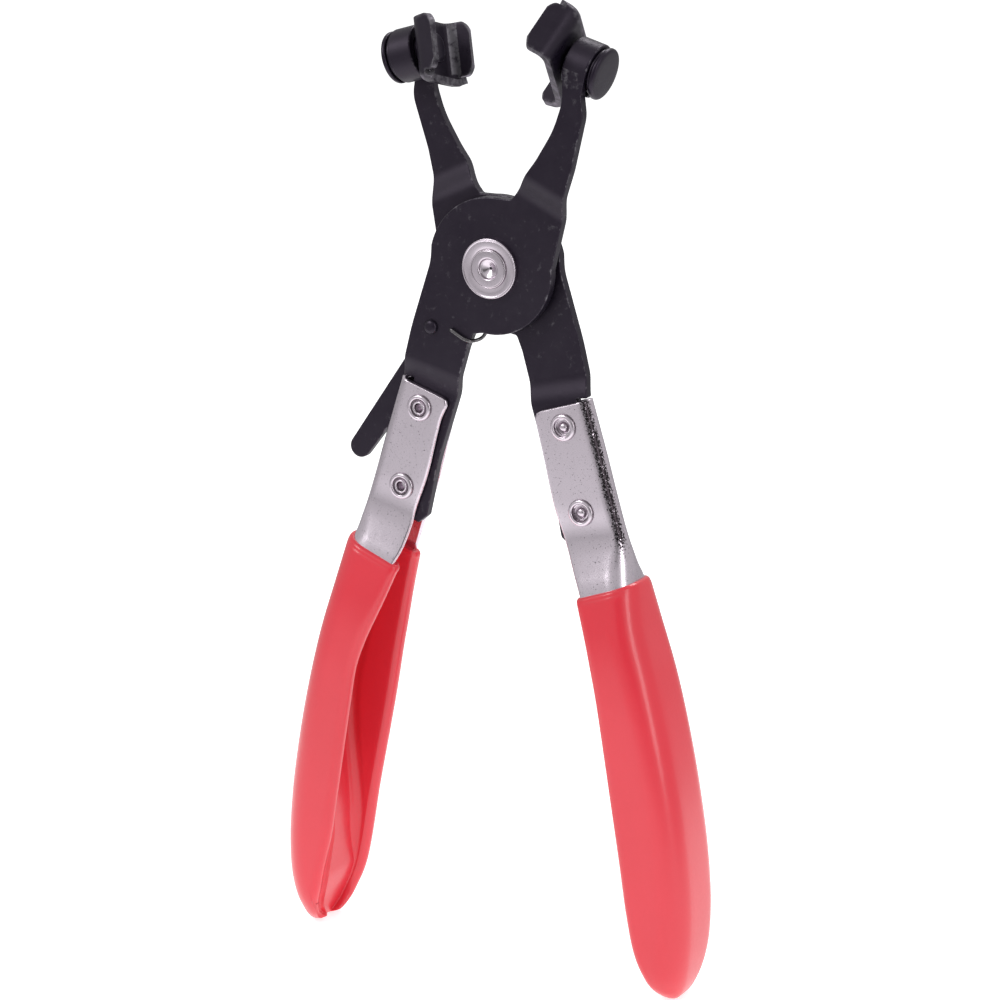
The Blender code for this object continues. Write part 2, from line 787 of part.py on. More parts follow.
def lever_spring_points():
    """A small torsion spring behind the lever's hub: one leg on the tail, one hooked to the arm."""
    centre = Vector((LEVER_PIN[0], 0.0, LEVER_PIN[1]))
    first = lever_back + LEVER_SPRING_WIRE + mm(0.12)
    turns = 1.5
    pitch = mm(0.62)
    radius = mm(1.85)
    start = math.radians(-100.0)
    points = []
    steps = 20
    for step in range(steps + 1):
        angle = start + 2 * math.pi * turns * step / steps
        y = first + pitch * turns * step / steps
        offset = Vector((math.cos(angle), 0.0, math.sin(angle))) * radius
        points.append(centre + offset + Vector((0.0, y, 0.0)))
    leg_end = points[-1] + Vector((mm(6.2), 0.0, mm(-0.6)))
    tail = points[0] + Vector((mm(-1.3), mm(0.1), mm(-0.9)))
    points = [tail] + points + [leg_end, leg_end + Vector((mm(0.4), mm(-3.6), mm(-0.3)))]
    return [tuple(point) for point in points]


lock_lever_spring = wire("lock_lever_spring", lever_spring_points(), LEVER_SPRING_WIRE, (PLATED, 0.3, 1.0))


# ---------------------------------------------------------------- swivel jaws
def jaw_path():
    """Half of the jaw's strip: (along its length, along the axis, half width) of the middle line."""
    bend = math.pi / 2 - JAW_FLARE
    start = JAW_HALF_LENGTH - JAW_SHEET / 2 - JAW_BEND
    points = [(0.0, 0.0, JAW_HALF_WIDTH)]
    for step in range(6):
        turn = bend * step / 5
        points.append((start + JAW_BEND * math.sin(turn), JAW_BEND * (1 - math.cos(turn)), JAW_HALF_WIDTH))
    length, height, _ = points[-1]
    rise = (JAW_FLANGE - height) / math.cos(JAW_FLARE)
    for share, narrowing in ((0.55, 0.0), (0.8, 0.35), (0.93, 0.95), (1.0, 1.9)):
        out = length + rise * share * math.sin(JAW_FLARE)
        up = height + rise * share * math.cos(JAW_FLARE)
        points.append((out, up, JAW_HALF_WIDTH - mm(narrowing)))
    return points


def jaw_mesh(name):
    """The folded strip. Local Y is its length, local X its width and local Z points to the other jaw."""
    half = jaw_path()
    path = [(-length, height, width) for length, height, width in reversed(half[1:])] + half
    builder = bmesh.new()
    rings = []
    for index, (length, height, width) in enumerate(path):
        before = Vector(path[max(index - 1, 0)][:2])
        after = Vector(path[min(index + 1, len(path) - 1)][:2])
        forward = (after - before).normalized()
        normal = Vector((-forward.y, forward.x)) * JAW_SHEET / 2
        ring = []
        for x, sign in ((-width, -1), (width, -1), (width, 1), (-width, 1)):
            ring.append(builder.verts.new((x, length + sign * normal.x, height + sign * normal.y)))
        rings.append(ring)
    for first, second in zip(rings, rings[1:]):
        for i in range(4):
            j = (i + 1) % 4
            builder.faces.new((first[i], first[j], second[j], second[i]))
    builder.faces.new(rings[0])
    builder.faces.new(rings[-1])
    bmesh.ops.recalc_face_normals(builder, faces=builder.faces)
    return mesh_from(builder, name)


def lip_mesh(name, side):
    """The lip along one long side of the jaw, leaning outwards. side is 1 for local +X, -1 for -X."""
    builder = bmesh.new()
    half = JAW_HALF_LENGTH - mm(2.2)
    edge = JAW_HALF_WIDTH + JAW_LIP_REACH
    profile = (
        (JAW_HALF_WIDTH - mm(1.2), -JAW_SHEET * 0.44),
        (JAW_HALF_WIDTH + mm(0.2), -JAW_SHEET * 0.44),
        (JAW_HALF_WIDTH + mm(1.1), JAW_SHEET * 0.1),
        (edge, JAW_LIP_RISE - mm(0.7)),
        (edge - mm(1.0), JAW_LIP_RISE),
        (JAW_HALF_WIDTH - mm(0.2), JAW_SHEET * 0.75),
        (JAW_HALF_WIDTH - mm(1.2), JAW_SHEET * 0.44),
    )
    rings = []
    for y in (-half, half):
        rings.append([builder.verts.new((side * x, y, z)) for x, z in profile])
    builder.faces.new(rings[0])
    builder.faces.new(rings[1])
    for i in range(len(profile)):
        j = (i + 1) % len(profile)
        builder.faces.new((rings[0][i], rings[0][j], rings[1][j], rings[1][i]))
    bmesh.ops.recalc_face_normals(builder, faces=builder.faces)
    return mesh_from(builder, name)


BASE_FROM_EYE = EYE_LENGTH / 2 + mm(0.5) + JAW_SHEET / 2  # middle of the jaw's base from the eye's middle


def make_jaw(prefix, side, turn):
    """side is -1 for the left jaw and 1 for the right one; turn swivels the jaw about its pin."""
    inward = Vector((-side * math.cos(JAW_TILT), 0.0, math.sin(JAW_TILT)))
    up = Vector((side * math.sin(JAW_TILT), 0.0, math.cos(JAW_TILT)))
    across = up.cross(inward)
    frame = Matrix((up, across, inward)).transposed()
    eye = at_pivot(side * EYE_X, 0.0, EYE_Z)
    spin = frame @ Matrix.Rotation(turn, 3, "Z")
    name = prefix + "_jaw"
    jaw = add_object(name, jaw_mesh(name), (DARK, 0.42, 0.75))
    place = Matrix.Translation(eye + inward * BASE_FROM_EYE) @ spin.to_4x4()
    jaw.matrix_world = place
    lip = as_cutter(name + "_lip", lip_mesh(name + "_lip", side))
    lip.matrix_world = place
    union(jaw, lip)
    base = eye + inward * BASE_FROM_EYE
    difference(jaw, rod(name + "_hole", JAW_PIN_NECK + BORE_FIT, mm(2), base, inward))

    inner_face = BASE_FROM_EYE + JAW_SHEET / 2 + BORE_FIT
    outer_end = -EYE_LENGTH / 2 - GROOVE
    shoulder = BASE_FROM_EYE - JAW_SHEET / 2 - mm(0.15)
    pin = turned(
        prefix + "_jaw_pin",
        (
            (0.0, inner_face + mm(1.0)),
            (mm(2.6), inner_face + mm(0.9)),
            (mm(3.4), inner_face + mm(0.5)),
            (mm(3.5), inner_face),
            (JAW_PIN_NECK, inner_face),
            (JAW_PIN_NECK, shoulder),
            (JAW_PIN, shoulder),
            (JAW_PIN, outer_end),
            (PIN_HEAD_RADIUS, outer_end),
            (PIN_HEAD_RADIUS, outer_end - PIN_HEAD_SHEET * 0.55),
            (PIN_HEAD_RADIUS - mm(0.5), outer_end - PIN_HEAD_SHEET * 0.9),
            (PIN_HEAD_RADIUS - mm(1.4), outer_end - PIN_HEAD_SHEET),
            (0.0, outer_end - PIN_HEAD_SHEET),
        ),
        eye,
        inward,
        (DARK, 0.32, 0.85),
        FULL_TURN,
    )
    ring_middle = -EYE_LENGTH / 2 - GROOVE / 2
    ring = turned(
        prefix + "_jaw_washer",
        (
            (JAW_PIN + BORE_FIT, mm(0.3)),
            (mm(5.2), mm(0.3)),
            (mm(5.2), mm(-0.3)),
            (JAW_PIN + BORE_FIT, mm(-0.3)),
        ),
        eye + inward * ring_middle,
        inward,
        (DARK, 0.5, 0.7),
        FULL_TURN,
        closed=True,
    )
    return jaw, pin, ring


left_jaw, left_jaw_pin, left_jaw_washer = make_jaw("left", -1.0, LEFT_JAW_TURN)
right_jaw, right_jaw_pin, right_jaw_washer = make_jaw("right", 1.0, RIGHT_JAW_TURN)

# ---------------------------------------------------------------- what rides on what
pivot_axis = axis_empty("pivot_axis", 0.0, 0.0)
lever_axis = axis_empty("lever_axis", LEVER_PIN[0], LEVER_PIN[1])
left_jaw_axis = axis_empty("left_jaw_axis", -EYE_X, EYE_Z)
right_jaw_axis = axis_empty("right_jaw_axis", EYE_X, EYE_Z)
for rider in (
    front_arm,
    left_channel,
    left_grip,
    left_upper_rivet,
    left_lower_rivet,
    lock_lever_pin,
    lock_lever_spring,
    right_jaw_washer,
):
    ride(rider, pivot_axis)
ride(lock_lever, lever_axis)
ride(left_jaw, left_jaw_axis)
ride(left_jaw_pin, left_jaw_axis)
ride(right_jaw, right_jaw_axis)
ride(right_jaw_pin, right_jaw_axis)

for piece in (front_arm, rear_arm, left_channel, right_channel, left_grip, right_grip, lock_lever, left_jaw, right_jaw):
    smooth(piece.data)
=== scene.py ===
"""Hose clamp pliers: the fine surface and the finishes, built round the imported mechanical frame.

The tool stands on its handle ends in the XZ plane. -Y is its front and +Z points to the jaws. The front
arm joins the right jaw to the left handle; the rear arm is the same pressing turned half a turn about Z.
Outlines are lists of millimetres measured from the pivot's axis, in the front arm's half.
"""

import json
import math

import bmesh
import bpy
from mathutils import Matrix, Vector


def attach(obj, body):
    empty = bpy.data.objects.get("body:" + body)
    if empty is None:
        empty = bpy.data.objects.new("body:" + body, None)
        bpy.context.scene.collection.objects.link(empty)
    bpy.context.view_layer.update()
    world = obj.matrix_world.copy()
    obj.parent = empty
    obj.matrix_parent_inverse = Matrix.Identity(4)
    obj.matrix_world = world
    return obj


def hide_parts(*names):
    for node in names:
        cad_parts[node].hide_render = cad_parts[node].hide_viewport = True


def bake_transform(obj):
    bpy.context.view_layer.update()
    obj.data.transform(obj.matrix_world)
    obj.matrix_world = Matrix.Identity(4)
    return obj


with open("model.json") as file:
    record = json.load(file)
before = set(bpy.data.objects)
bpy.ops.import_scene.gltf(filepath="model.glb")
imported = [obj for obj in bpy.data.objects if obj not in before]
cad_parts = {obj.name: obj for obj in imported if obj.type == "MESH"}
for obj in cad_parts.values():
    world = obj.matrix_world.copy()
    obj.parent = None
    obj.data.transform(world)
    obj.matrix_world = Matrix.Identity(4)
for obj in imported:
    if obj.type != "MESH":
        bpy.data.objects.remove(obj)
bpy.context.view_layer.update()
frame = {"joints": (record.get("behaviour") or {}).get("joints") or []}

bl_info = {
    "name": "Hose Clamp Pliers",
    "version": (1, 0, 0),
    "blender": (4, 5, 0),
    "location": "View3D > Sidebar > Pliers",
    "description": "Builds swivel-jaw hose clamp pliers and a small studio round them",
    "category": "Add Mesh",
}

JOINTS = {joint["name"]: joint for joint in frame["joints"]}
PIVOT = Vector(JOINTS["pivot"]["pos_m"])
LEVER_PIN = Vector(JOINTS["lock_lever_hinge"]["pos_m"])
EYES = {"left": Vector(JOINTS["left_jaw_swivel"]["pos_m"]), "right": Vector(JOINTS["right_jaw_swivel"]["pos_m"])}
INWARD = {"left": Vector(JOINTS["left_jaw_swivel"]["axis"]), "right": Vector(JOINTS["right_jaw_swivel"]["axis"])}
SIDE = {"left": -1.0, "right": 1.0}
# The body that each side's handle and each side's jaw pin ride on.
HANDLE_BODY = {"left": "front_arm_body", "right": "rear_arm_body"}
EYE_BODY = {"left": "rear_arm_body", "right": "front_arm_body"}
JAW_BODY = {"left": "left_jaw_body", "right": "right_jaw_body"}
FRONT = Vector((0.0, -1.0, 0.0))

# ---------------------------------------------------------------- outlines and stations, in mm from the pivot
# Corners of the arm's outline as (x, z, corner radius). The arcs round the pivot are added between the lists.
UPPER_OUTER = ((24.2, 44.5, 0.0), (23.2, 40.0, 1.0), (23.8, 35.5, 8.0), (19.8, 21.0, 25.0), (15.7, 4.0, 8.0))
# Corners that take the fourth corner's place beside each arm's upper step.
SHOULDERS = {True: ((19.9, 24.0, 20.0), (17.3, 13.0, 20.0)), False: ((21.1, 23.5, 20.0), (17.8, 13.0, 15.0))}
LOWER_INNER = (
    (-4.6, -15.3, 0.9),
    (-6.0, -18.6, 5.0),
    (-9.7, -31.3, 60.0),
    (-14.3, -45.7, 60.0),
    (-17.3, -59.3, 1.0),
    (-19.6, -61.2, 0.6),
    (-27.6, -57.2, 0.6),
    (-25.6, -45.0, 60.0),
    (-20.9, -28.6, 0.3),
    (-20.6, -27.4, 0.3),
    (-23.3, -27.0, 0.5),
    (-20.3, -15.0, 60.0),
    (-15.4, 0.2, 60.0),
)
UPPER_INNER = (
    (4.9, 15.6, 1.0),
    (8.0, 19.4, 6.0),
    (12.4, 25.2, 25.0),
    (16.6, 32.0, 25.0),
    (18.6, 38.0, 10.0),
    (18.7, 46.1, 0.0),
)
# A handle's channel from the top down: back of the web (x, z), free edge of the flanges (x, z), half depth.
CHANNEL = (
    (23.7, -27.2, 13.1, -30.6, 2.7),
    (23.8, -27.5, 11.9, -31.4, 2.7),
    (24.2, -28.8, 11.6, -32.6, 2.7),
    (27.6, -39.5, 13.9, -41.2, 2.7),
    (30.6, -49.5, 16.6, -51.8, 2.7),
    (33.0, -57.0, 19.7, -59.8, 2.8),
    (34.8, -62.3, 22.8, -66.0, 4.9),
    (36.2, -67.2, 25.6, -71.0, 7.0),
    (38.3, -76.2, 29.0, -81.0, 8.5),
    (42.1, -88.5, 31.9, -93.0, 9.1),
    (45.8, -103.0, 34.3, -106.5, 9.2),
    (48.7, -117.5, 36.4, -119.0, 9.2),
    (50.6, -130.5, 38.3, -130.5, 9.2),
    (51.4, -142.5, 40.1, -142.0, 9.2),
    (51.0, -151.5, 41.9, -151.0, 8.8),
    (49.7, -157.8, 43.8, -156.8, 7.6),
)
GRIP_TOPS = {"left": (35.7, -65.4, 24.9, -69.6, 6.35), "right": (36.1, -66.7, 25.5, -70.6, 6.75)}
GRIP_FIRST = 8  # first channel station below the grip's top edge
GRIP_END = ((48.3, -160.9, 44.7, -160.0, 5.6), (46.9, -162.6, 45.6, -162.2, 2.9))
HANDLE_RIVETS = {"upper": (18.3, -33.8), "lower": (23.0, -52.6)}
RIVET_LINE = -57.0  # the handles bow to one side below this height
HANDLE_BOW = 0.007  # by this share of the length below it
# Where the pressed arms step back: the start and the end of each step along the arm.
UPPER_STEP = (17.6, 24.8)
LOWER_STEP = (26.0, 32.0)
TO_HANDLE = Vector((-0.236, 0.0, -0.972))
TOOTH_COUNT = 8
TOOTH_DEPTH = 1.0
LEVER_FRONT = 0.75  # front face of the lever's hub, measured from the middle plane
LEVER_SET_BACK = 2.85  # how far the lever's tail is stepped back
LEVER_STEP = (3.7, 9.5)
LEVER_PIN_RADIUS = 1.3
LEVER_HUB = 3.5
# How far each swivel jaw is turned on its pin at rest, in degrees, and its shift along its own length.
JAW_TURN = {"left": 13.9, "right": -43.5}
JAW_SHIFT = {"left": 0.0, "right": -0.6}
JAW_LIP = ((0.35, 0.10), (0.85, 0.42), (1.25, 1.0), (1.5, 1.7), (1.65, 2.5), (1.75, 3.2))
# A grip's front free edge is drawn in by each amount between two depths below the pivot.
EDGE_WAVES = ((30, 37, 1.0), (46, 56, 0.3), (56, 71, -2.7), (76, 98, 2.9), (135, 150, 0.9))
# Soft lights: name, place in metres, width, height and power.
LIGHTS = (
    ("key_left", (-0.45, -0.55, 0.75), 0.45, 0.45, 2.6),
    ("fill_right", (0.75, -0.30, 0.35), 0.2, 0.7, 1.4),
    ("top_back", (0.1, 0.55, 0.85), 0.7, 0.25, 2.8),
)
CAMERA_AIM = (1.081, 0.0, -53.268)  # the point that the camera looks at, from the pivot


def mm(value):
    return value * 0.001


def all_mm(*values):
    return tuple(mm(value) for value in values)


def length_property(name, about, value):
    return bpy.props.FloatProperty(name=name, description=about, default=mm(value), unit="LENGTH", precision=5)


def colour_property(name, about, value):
    return bpy.props.FloatVectorProperty(
        name=name, description=about, default=value, size=3, min=0.0, max=1.0, subtype="COLOR"
    )


def share_property(name, about, value):
    return bpy.props.FloatProperty(name=name, description=about, default=value, min=0.0, max=1.0, subtype="FACTOR")


class PliersSizes(bpy.types.PropertyGroup):
    """Sizes of the tool's pieces."""

    sheet: length_property("Arm Sheet", "Thickness of the arms' steel sheet", 2.4)
    gap: length_property("Arm Gap", "Gap between the two arms at the pivot", 1.1)
    disc: length_property("Disc Radius", "Radius of the arms' round middle", 15.0)
    crown: length_property("Crown Radius", "Radius of the wider arc opposite the ratchet", 15.7)
    punched_edge: length_property("Punched Edge", "Rounding along the edges of the pressed sheet", 0.32)
    eye: length_property("Eye Radius", "Outside radius of the curled eyes", 6.0)
    eye_bore: length_property("Eye Bore", "Radius of the hole in the curled eyes", 3.9)
    eye_length: length_property("Eye Length", "Length of the curled eyes", 5.8)
    washer: length_property("Washer Radius", "Radius of the washers at the pivot", 6.7)
    rivet_rim: length_property("Rivet Rim", "Radius of the pivot rivet's rolled rim", 4.4)
    shank: length_property("Pivot Shank", "Radius of the pivot rivet's shank", 4.0)
    channel_sheet: length_property("Channel Sheet", "Thickness of the handles' steel", 1.2)
    channel_corner: length_property("Channel Corner", "Outside corner radius of the handles' steel", 5.2)
    coat: length_property("Grip Coat", "Thickness of the dipped grips", 1.2)
    handle_rivet: length_property("Handle Rivet Head", "Radius of the handle rivets' heads", 3.05)
    rivet_groove: length_property("Rivet Groove", "Radius of the groove in a handle rivet's head", 1.9)
    rivet_shank: length_property("Handle Rivet Shank", "Radius of the handle rivets' shanks", 1.75)
    lever_sheet: length_property("Lever Sheet", "Thickness of the lock lever", 2.0)
    jaw_sheet: length_property("Jaw Sheet", "Thickness of the jaws' steel", 1.6)
    jaw_width: length_property("Jaw Half Width", "Half the width of the jaws' strip", 6.1)
    left_jaw: length_property("Left Jaw Half Length", "Half the length over the left jaw's flanges", 7.6)
    right_jaw: length_property("Right Jaw Half Length", "Half the length over the right jaw's flanges", 10.8)
    jaw_gap: length_property("Jaw Gap", "Gap between an eye and the jaw's base", 1.25)
    jaw_flange: length_property("Jaw Flange", "Height of the jaws' flanges", 5.6)
    pin_head: length_property("Jaw Pin Head", "Radius of the jaw pins' outer heads", 5.8)
    spring_wire: length_property("Spring Wire", "Radius of the opening spring's wire", 0.42)


class PliersColours(bpy.types.PropertyGroup):
    """Colours and wear of the tool's finishes."""

    black: colour_property("Black Oxide", "Colour of the blackened steel", (0.0058, 0.0036, 0.0095))
    black_worn: colour_property("Worn Black", "Colour where the black finish is rubbed thin", (0.20, 0.19, 0.21))
    plated: colour_property("Nickel Plate", "Colour of the plated steel", (0.86, 0.77, 0.855))
    grip: colour_property("Grip Red", "Colour of the dipped grips", (0.88, 0.036, 0.062))
    # This darker red is both the dip's random deep tone and the painted shade inside the grips' hollow.
    grip_mottle_and_shade: colour_property("Deep Grip Red", "Colour of the grips' thick and shaded places", (0.62, 0.014, 0.024))
    wire: colour_property("Spring Steel", "Colour of the spring wire", (0.20, 0.19, 0.20))
    wear: share_property("Edge Wear", "How much of the black finish is rubbed off the edges", 0.5)


class StudioSettings(bpy.types.PropertyGroup):
    """The floor, lights and camera."""

    azimuth: bpy.props.FloatProperty(
        name="Azimuth", description="Camera's turn to the right", default=math.radians(28.93), subtype="ANGLE"
    )
    elevation: bpy.props.FloatProperty(
        name="Elevation", description="Camera's height angle", default=math.radians(15.11), subtype="ANGLE"
    )
    roll: bpy.props.FloatProperty(
        name="Roll", description="Camera's roll", default=math.radians(0.39), subtype="ANGLE"
    )
    lens: bpy.props.FloatProperty(
        name="Lens", description="Focal length for a 36 mm sensor", default=117.756, unit="CAMERA"
    )
    distance: length_property("Distance", "Camera's distance from the point it looks at", 734.0)
    floor: colour_property("Floor", "Colour of the studio floor", (0.93, 0.93, 0.935))
    sky: share_property("Surround", "Brightness of the white surround", 0.64)


# ---------------------------------------------------------------- shader expressions
class Wire:
    """A socket of a shader tree. Arithmetic on it adds Math nodes."""

    def __init__(self, tree, socket):
        self.tree = tree
        self.socket = socket

    def maths(self, operation, *values):
        return self.tree.node("ShaderNodeMath", {"operation": operation}, *values)

    def __add__(self, other):
        return self.maths("ADD", self, other)

    def __sub__(self, other):
        return self.maths("SUBTRACT", self, other)

    def __rsub__(self, other):
        return self.maths("SUBTRACT", other, self)

    def __mul__(self, other):
        return self.maths("MULTIPLY", self, other)

    __radd__ = __add__
    __rmul__ = __mul__

    def held(self):
        """The value held between 0 and 1."""
        return self.tree.node("ShaderNodeClamp", {}, self)

    def ramp(self, low, high, first=0.0, last=1.0):
        """The first value below low, the last one above high and smooth between."""
        return self.tree.node("ShaderNodeMapRange", {"interpolation_type": "SMOOTHSTEP"}, self, low, high, first, last)


class Tree:
    """The nodes of a material or of the world."""

    def __init__(self, owner):
        owner.use_nodes = True
        self.nodes = owner.node_tree.nodes
        self.links = owner.node_tree.links

    def put(self, socket, value):
        if isinstance(value, Wire):
            self.links.new(value.socket, socket)
        elif hasattr(value, "__len__") and len(value) == 3 and socket.type == "RGBA":
            socket.default_value = (*value, 1.0)
        else:
            socket.default_value = value

    def node(self, kind, settings, *values, output=0, **named):
        """Any node: its settings first, then socket values or links in order, then those with a name."""
        made = self.nodes.new(kind)
        for key, value in settings.items():
            setattr(made, key, value)
        for socket, value in zip(made.inputs, values):
            if value is not None:
                self.put(socket, value)
        for key, value in named.items():
            self.put(made.inputs[key.replace("_", " ")], value)
        return Wire(self, made.outputs[output])

    def blend(self, share, first, second):
        """A colour between two colours."""
        unused = [None] * 5  # the sockets of the plain number and vector kinds
        return self.node("ShaderNodeMix", {"data_type": "RGBA"}, share, *unused, first, second, output=2)


class Finish(Tree):
    """One material: its shader, and the nodes that feed it."""

    def __init__(self, name, colour, roughness, metallic=0.0, **constants):
        self.material = bpy.data.materials.new(name)
        super().__init__(self.material)
        self.shader = self.nodes["Principled BSDF"]
        self.feed("Base Color", colour)
        self.feed("Roughness", roughness)
        self.feed("Metallic", metallic)
        for key, value in constants.items():
            self.feed(key.replace("_", " "), value)
        self.material.diffuse_color = (*colour, 1.0)

    def feed(self, name, value):
        self.put(self.shader.inputs[name], value)

    def place(self):
        """Where the surface is, in metres."""
        return self.node("ShaderNodeTexCoord", {}, output="Object")

    def stretched(self, scale):
        """The place, scaled along each axis."""
        return self.node("ShaderNodeVectorMath", {"operation": "MULTIPLY"}, self.place(), scale)

    def cloud(self, scale, detail=3.0, roughness=0.5, vector=None):
        vector = vector or self.place()
        return self.node("ShaderNodeTexNoise", {}, Vector=vector, Scale=scale, Detail=detail, Roughness=roughness)

    def mark(self, name):
        """A value stored on the mesh's points."""
        return self.node("ShaderNodeAttribute", {"attribute_name": name}, output="Fac")

    def bump(self, height, strength, depth):
        self.feed("Normal", self.node("ShaderNodeBump", {}, Strength=strength, Distance=depth, Height=height))


def black_finish(name, colours, roughness, wear, streaks=0.35):
    """Blackened steel: mottled, finely scratched, and rubbed bright along its edges."""
    made = Finish(
        name, tuple(colours.black), roughness, 0.0, Specular_IOR_Level=0.47, Specular_Tint=(0.92, 0.78, 1.0)
    )
    mottle = made.cloud(420.0, 5.0, 0.62)
    broad = made.cloud(55.0, 3.0, 0.55)
    scratches = made.cloud(260.0, 2.0, 0.7, made.stretched((1.0, 1.0, 0.06))).ramp(0.62, 0.72)
    edge = made.mark("edge_wear")
    rub = (edge * (made.cloud(620.0, 4.0, 0.65) * 2.2 + (wear - 1.1))).ramp(0.25, 0.8)
    lift = (mottle.ramp(0.42, 0.80) * 0.016 + scratches * 0.014 * streaks + broad.ramp(0.3, 0.8) * 0.02).held()
    worn = (rub * 0.9 + lift).held()
    made.feed("Base Color", made.blend(worn, tuple(colours.black), tuple(colours.black_worn)))
    made.feed("Metallic", (rub * 0.6).held())
    made.feed("Roughness", (mottle * 0.22 + broad * 0.10 + (roughness - 0.16) - scratches * 0.08).held())
    made.bump(mottle * 0.7 + made.cloud(2600.0, 2.0) * 0.3, 0.35, 0.00006)
    return made


def plated_finish(name, colours, roughness):
    """Bright nickel plate: faint drawing lines along the handle, soft smears and a few pits."""
    made = Finish(name, tuple(colours.plated), roughness, 1.0)
    lines = made.cloud(700.0, 3.0, 0.6, made.stretched((1.0, 1.0, 0.05)))
    smear = made.cloud(38.0, 4.0, 0.6)
    pits = made.cloud(1500.0, 2.0, 0.5).ramp(0.74, 0.80)
    shade = (smear.ramp(0.35, 0.75) * 0.35 + pits * 0.35 + lines * 0.12).held()
    deep = tuple(channel * 0.72 for channel in colours.plated)
    plate = made.blend(shade, tuple(colours.plated), deep)
    # Painted shade: the marked grooves of the rivets and the pivot are darkened to near black.
    made.feed("Base Color", made.blend(made.mark("painted_groove_shade").held(), plate, (0.11, 0.095, 0.10)))
    made.feed("Roughness", (lines * 0.10 + smear * 0.16 + (roughness - 0.12)).held())
    made.bump(lines * 0.6 + smear * 0.4, 0.12, 0.00005)
    return made


def fold_reflection_finish(colours):
    """The handles' plate, with a broken dark line painted along the front fold as a painted reflection of the dark
    surround.
    """
    made = plated_finish("nickel_plate_handle", colours, 0.24)
    base = made.shader.inputs["Base Color"].links[0].from_socket
    fold = made.mark("painted_fold_reflection")
    broken = made.cloud(2700.0, 3.0, 0.7)
    # Painted reflection: a broken dark line along the right handle's front fold.
    line = (fold * 0.9 + (broken - 0.5) * 2.6).ramp(0.30, 0.52)
    made.feed("Base Color", made.blend(line, Wire(made, base), (0.035, 0.028, 0.033)))
    return made


def grip_finish(colours):
    """Glossy dipped vinyl: painted shade darkens the hollow inside, with the faint ripple and specks of the dip."""
    made = Finish(
        "dipped_vinyl",
        tuple(colours.grip),
        0.3,
        0.0,
        Coat_Roughness=0.16,
        Specular_IOR_Level=0.5,
        Subsurface_Weight=0.05,
        Subsurface_Scale=0.002,
    )
    drift = made.cloud(26.0, 3.0, 0.5)
    grain = made.cloud(1400.0, 3.0, 0.6)
    # Painted shade inside the grips' hollow; it also thins the coat there.
    thick = made.mark("shaded")
    shade = (drift.ramp(0.35, 0.75) * 0.20 + grain * 0.12 + thick * 0.6).held()
    made.feed("Base Color", made.blend(shade, tuple(colours.grip), tuple(colours.grip_mottle_and_shade)))
    made.feed("Roughness", (grain * 0.16 + drift * 0.14 + 0.20).held())
    made.feed("Coat Weight", (0.6 - thick * 0.5).held())
    made.bump(made.cloud(340.0, 2.0) * 0.6 + grain * 0.4, 0.25, 0.00009)
    return made


def wire_finish(colours):
    """Drawn spring wire: drawing lines along it and a thin film of oil."""
    made = Finish("spring_steel", tuple(colours.wire), 0.28, 1.0)
    lines = made.cloud(1800.0, 2.0, 0.6)
    deep = tuple(channel * 0.45 for channel in colours.wire)
    made.feed("Base Color", made.blend(lines.ramp(0.45, 0.75), tuple(colours.wire), deep))
    made.feed("Roughness", (lines * 0.25 + 0.15).held())
    return made


FINISHES = {}


def finishes():
    """The finishes, made once."""
    if not FINISHES:
        colours = bpy.context.scene.pliers_colours
        FINISHES["black_sheet"] = black_finish("black_oxide_sheet", colours, 0.42, colours.wear * 0.62)
        FINISHES["black_jaw"] = black_finish("black_oxide_jaw", colours, 0.36, colours.wear * 1.7)
        FINISHES["black_turned"] = black_finish("black_oxide_turned", colours, 0.32, colours.wear * 0.4, 0.1)
        FINISHES["plated"] = plated_finish("nickel_plate", colours, 0.22)
        FINISHES["fold"] = fold_reflection_finish(colours)
        FINISHES["grip"] = grip_finish(colours)
        FINISHES["wire"] = wire_finish(colours)
    return FINISHES


# ---------------------------------------------------------------- mesh helpers
def collection():
    found = bpy.data.collections.get("Hose Clamp Pliers")
    if found is None:
        found = bpy.data.collections.new("Hose Clamp Pliers")
        bpy.context.scene.collection.children.link(found)
    return found


def mesh_of(builder, name):
    mesh = bpy.data.meshes.new(name)
    builder.normal_update()
    builder.to_mesh(mesh)
    builder.free()
    mesh.polygons.foreach_set("use_smooth", [True] * len(mesh.polygons))
    return mesh


def show(name, mesh, finish, body, *nodes):
    """A finished piece: it takes a finish, rides on a body and stands for frame nodes."""
    made = bpy.data.objects.new(name, mesh)
    collection().objects.link(made)
    made.data.materials.append(finishes()[finish].material)
    if body:
        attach(made, body)
    if nodes:
        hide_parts(*nodes)
    return made


def settle(made):
    """Turn the piece's modifiers into its mesh."""
    graph = bpy.context.evaluated_depsgraph_get()
    graph.update()
    mesh = bpy.data.meshes.new_from_object(made.evaluated_get(graph))
    made.modifiers.clear()
    made.data = mesh


def flatten_shading(made):
    """Keep the broad faces flat and the rounded edges round."""
    weighted = made.modifiers.new("Even Shading", "WEIGHTED_NORMAL")
    weighted.weight = 80
    weighted.keep_sharp = False


def mark_edges(made, reach=2, low=0.06, high=0.42):
    """Store how sharply the surface turns outwards at each point, spread a little, for the wear."""
    builder = bmesh.new()
    builder.from_mesh(made.data)
    turn = [0.0] * len(builder.verts)
    builder.verts.ensure_lookup_table()
    for edge in builder.edges:
        if len(edge.link_faces) == 2:
            angle = edge.calc_face_angle_signed(0.0)
            for vert in edge.verts:
                turn[vert.index] = max(turn[vert.index], (angle - low) / (high - low))
    neighbours = [[edge.other_vert(vert).index for edge in vert.link_edges] for vert in builder.verts]
    builder.free()
    values = [min(max(value, 0.0), 1.0) for value in turn]
    for _ in range(reach):
        values = [
            max(values[i], 0.45 * max((values[j] for j in near), default=0.0)) for i, near in enumerate(neighbours)
        ]
    store(made, "edge_wear", values)


def store(made, name, values):
    mesh = made.data
    layer = mesh.attributes.get(name) or mesh.attributes.new(name, "FLOAT", "POINT")
    layer.data.foreach_set("value", values)


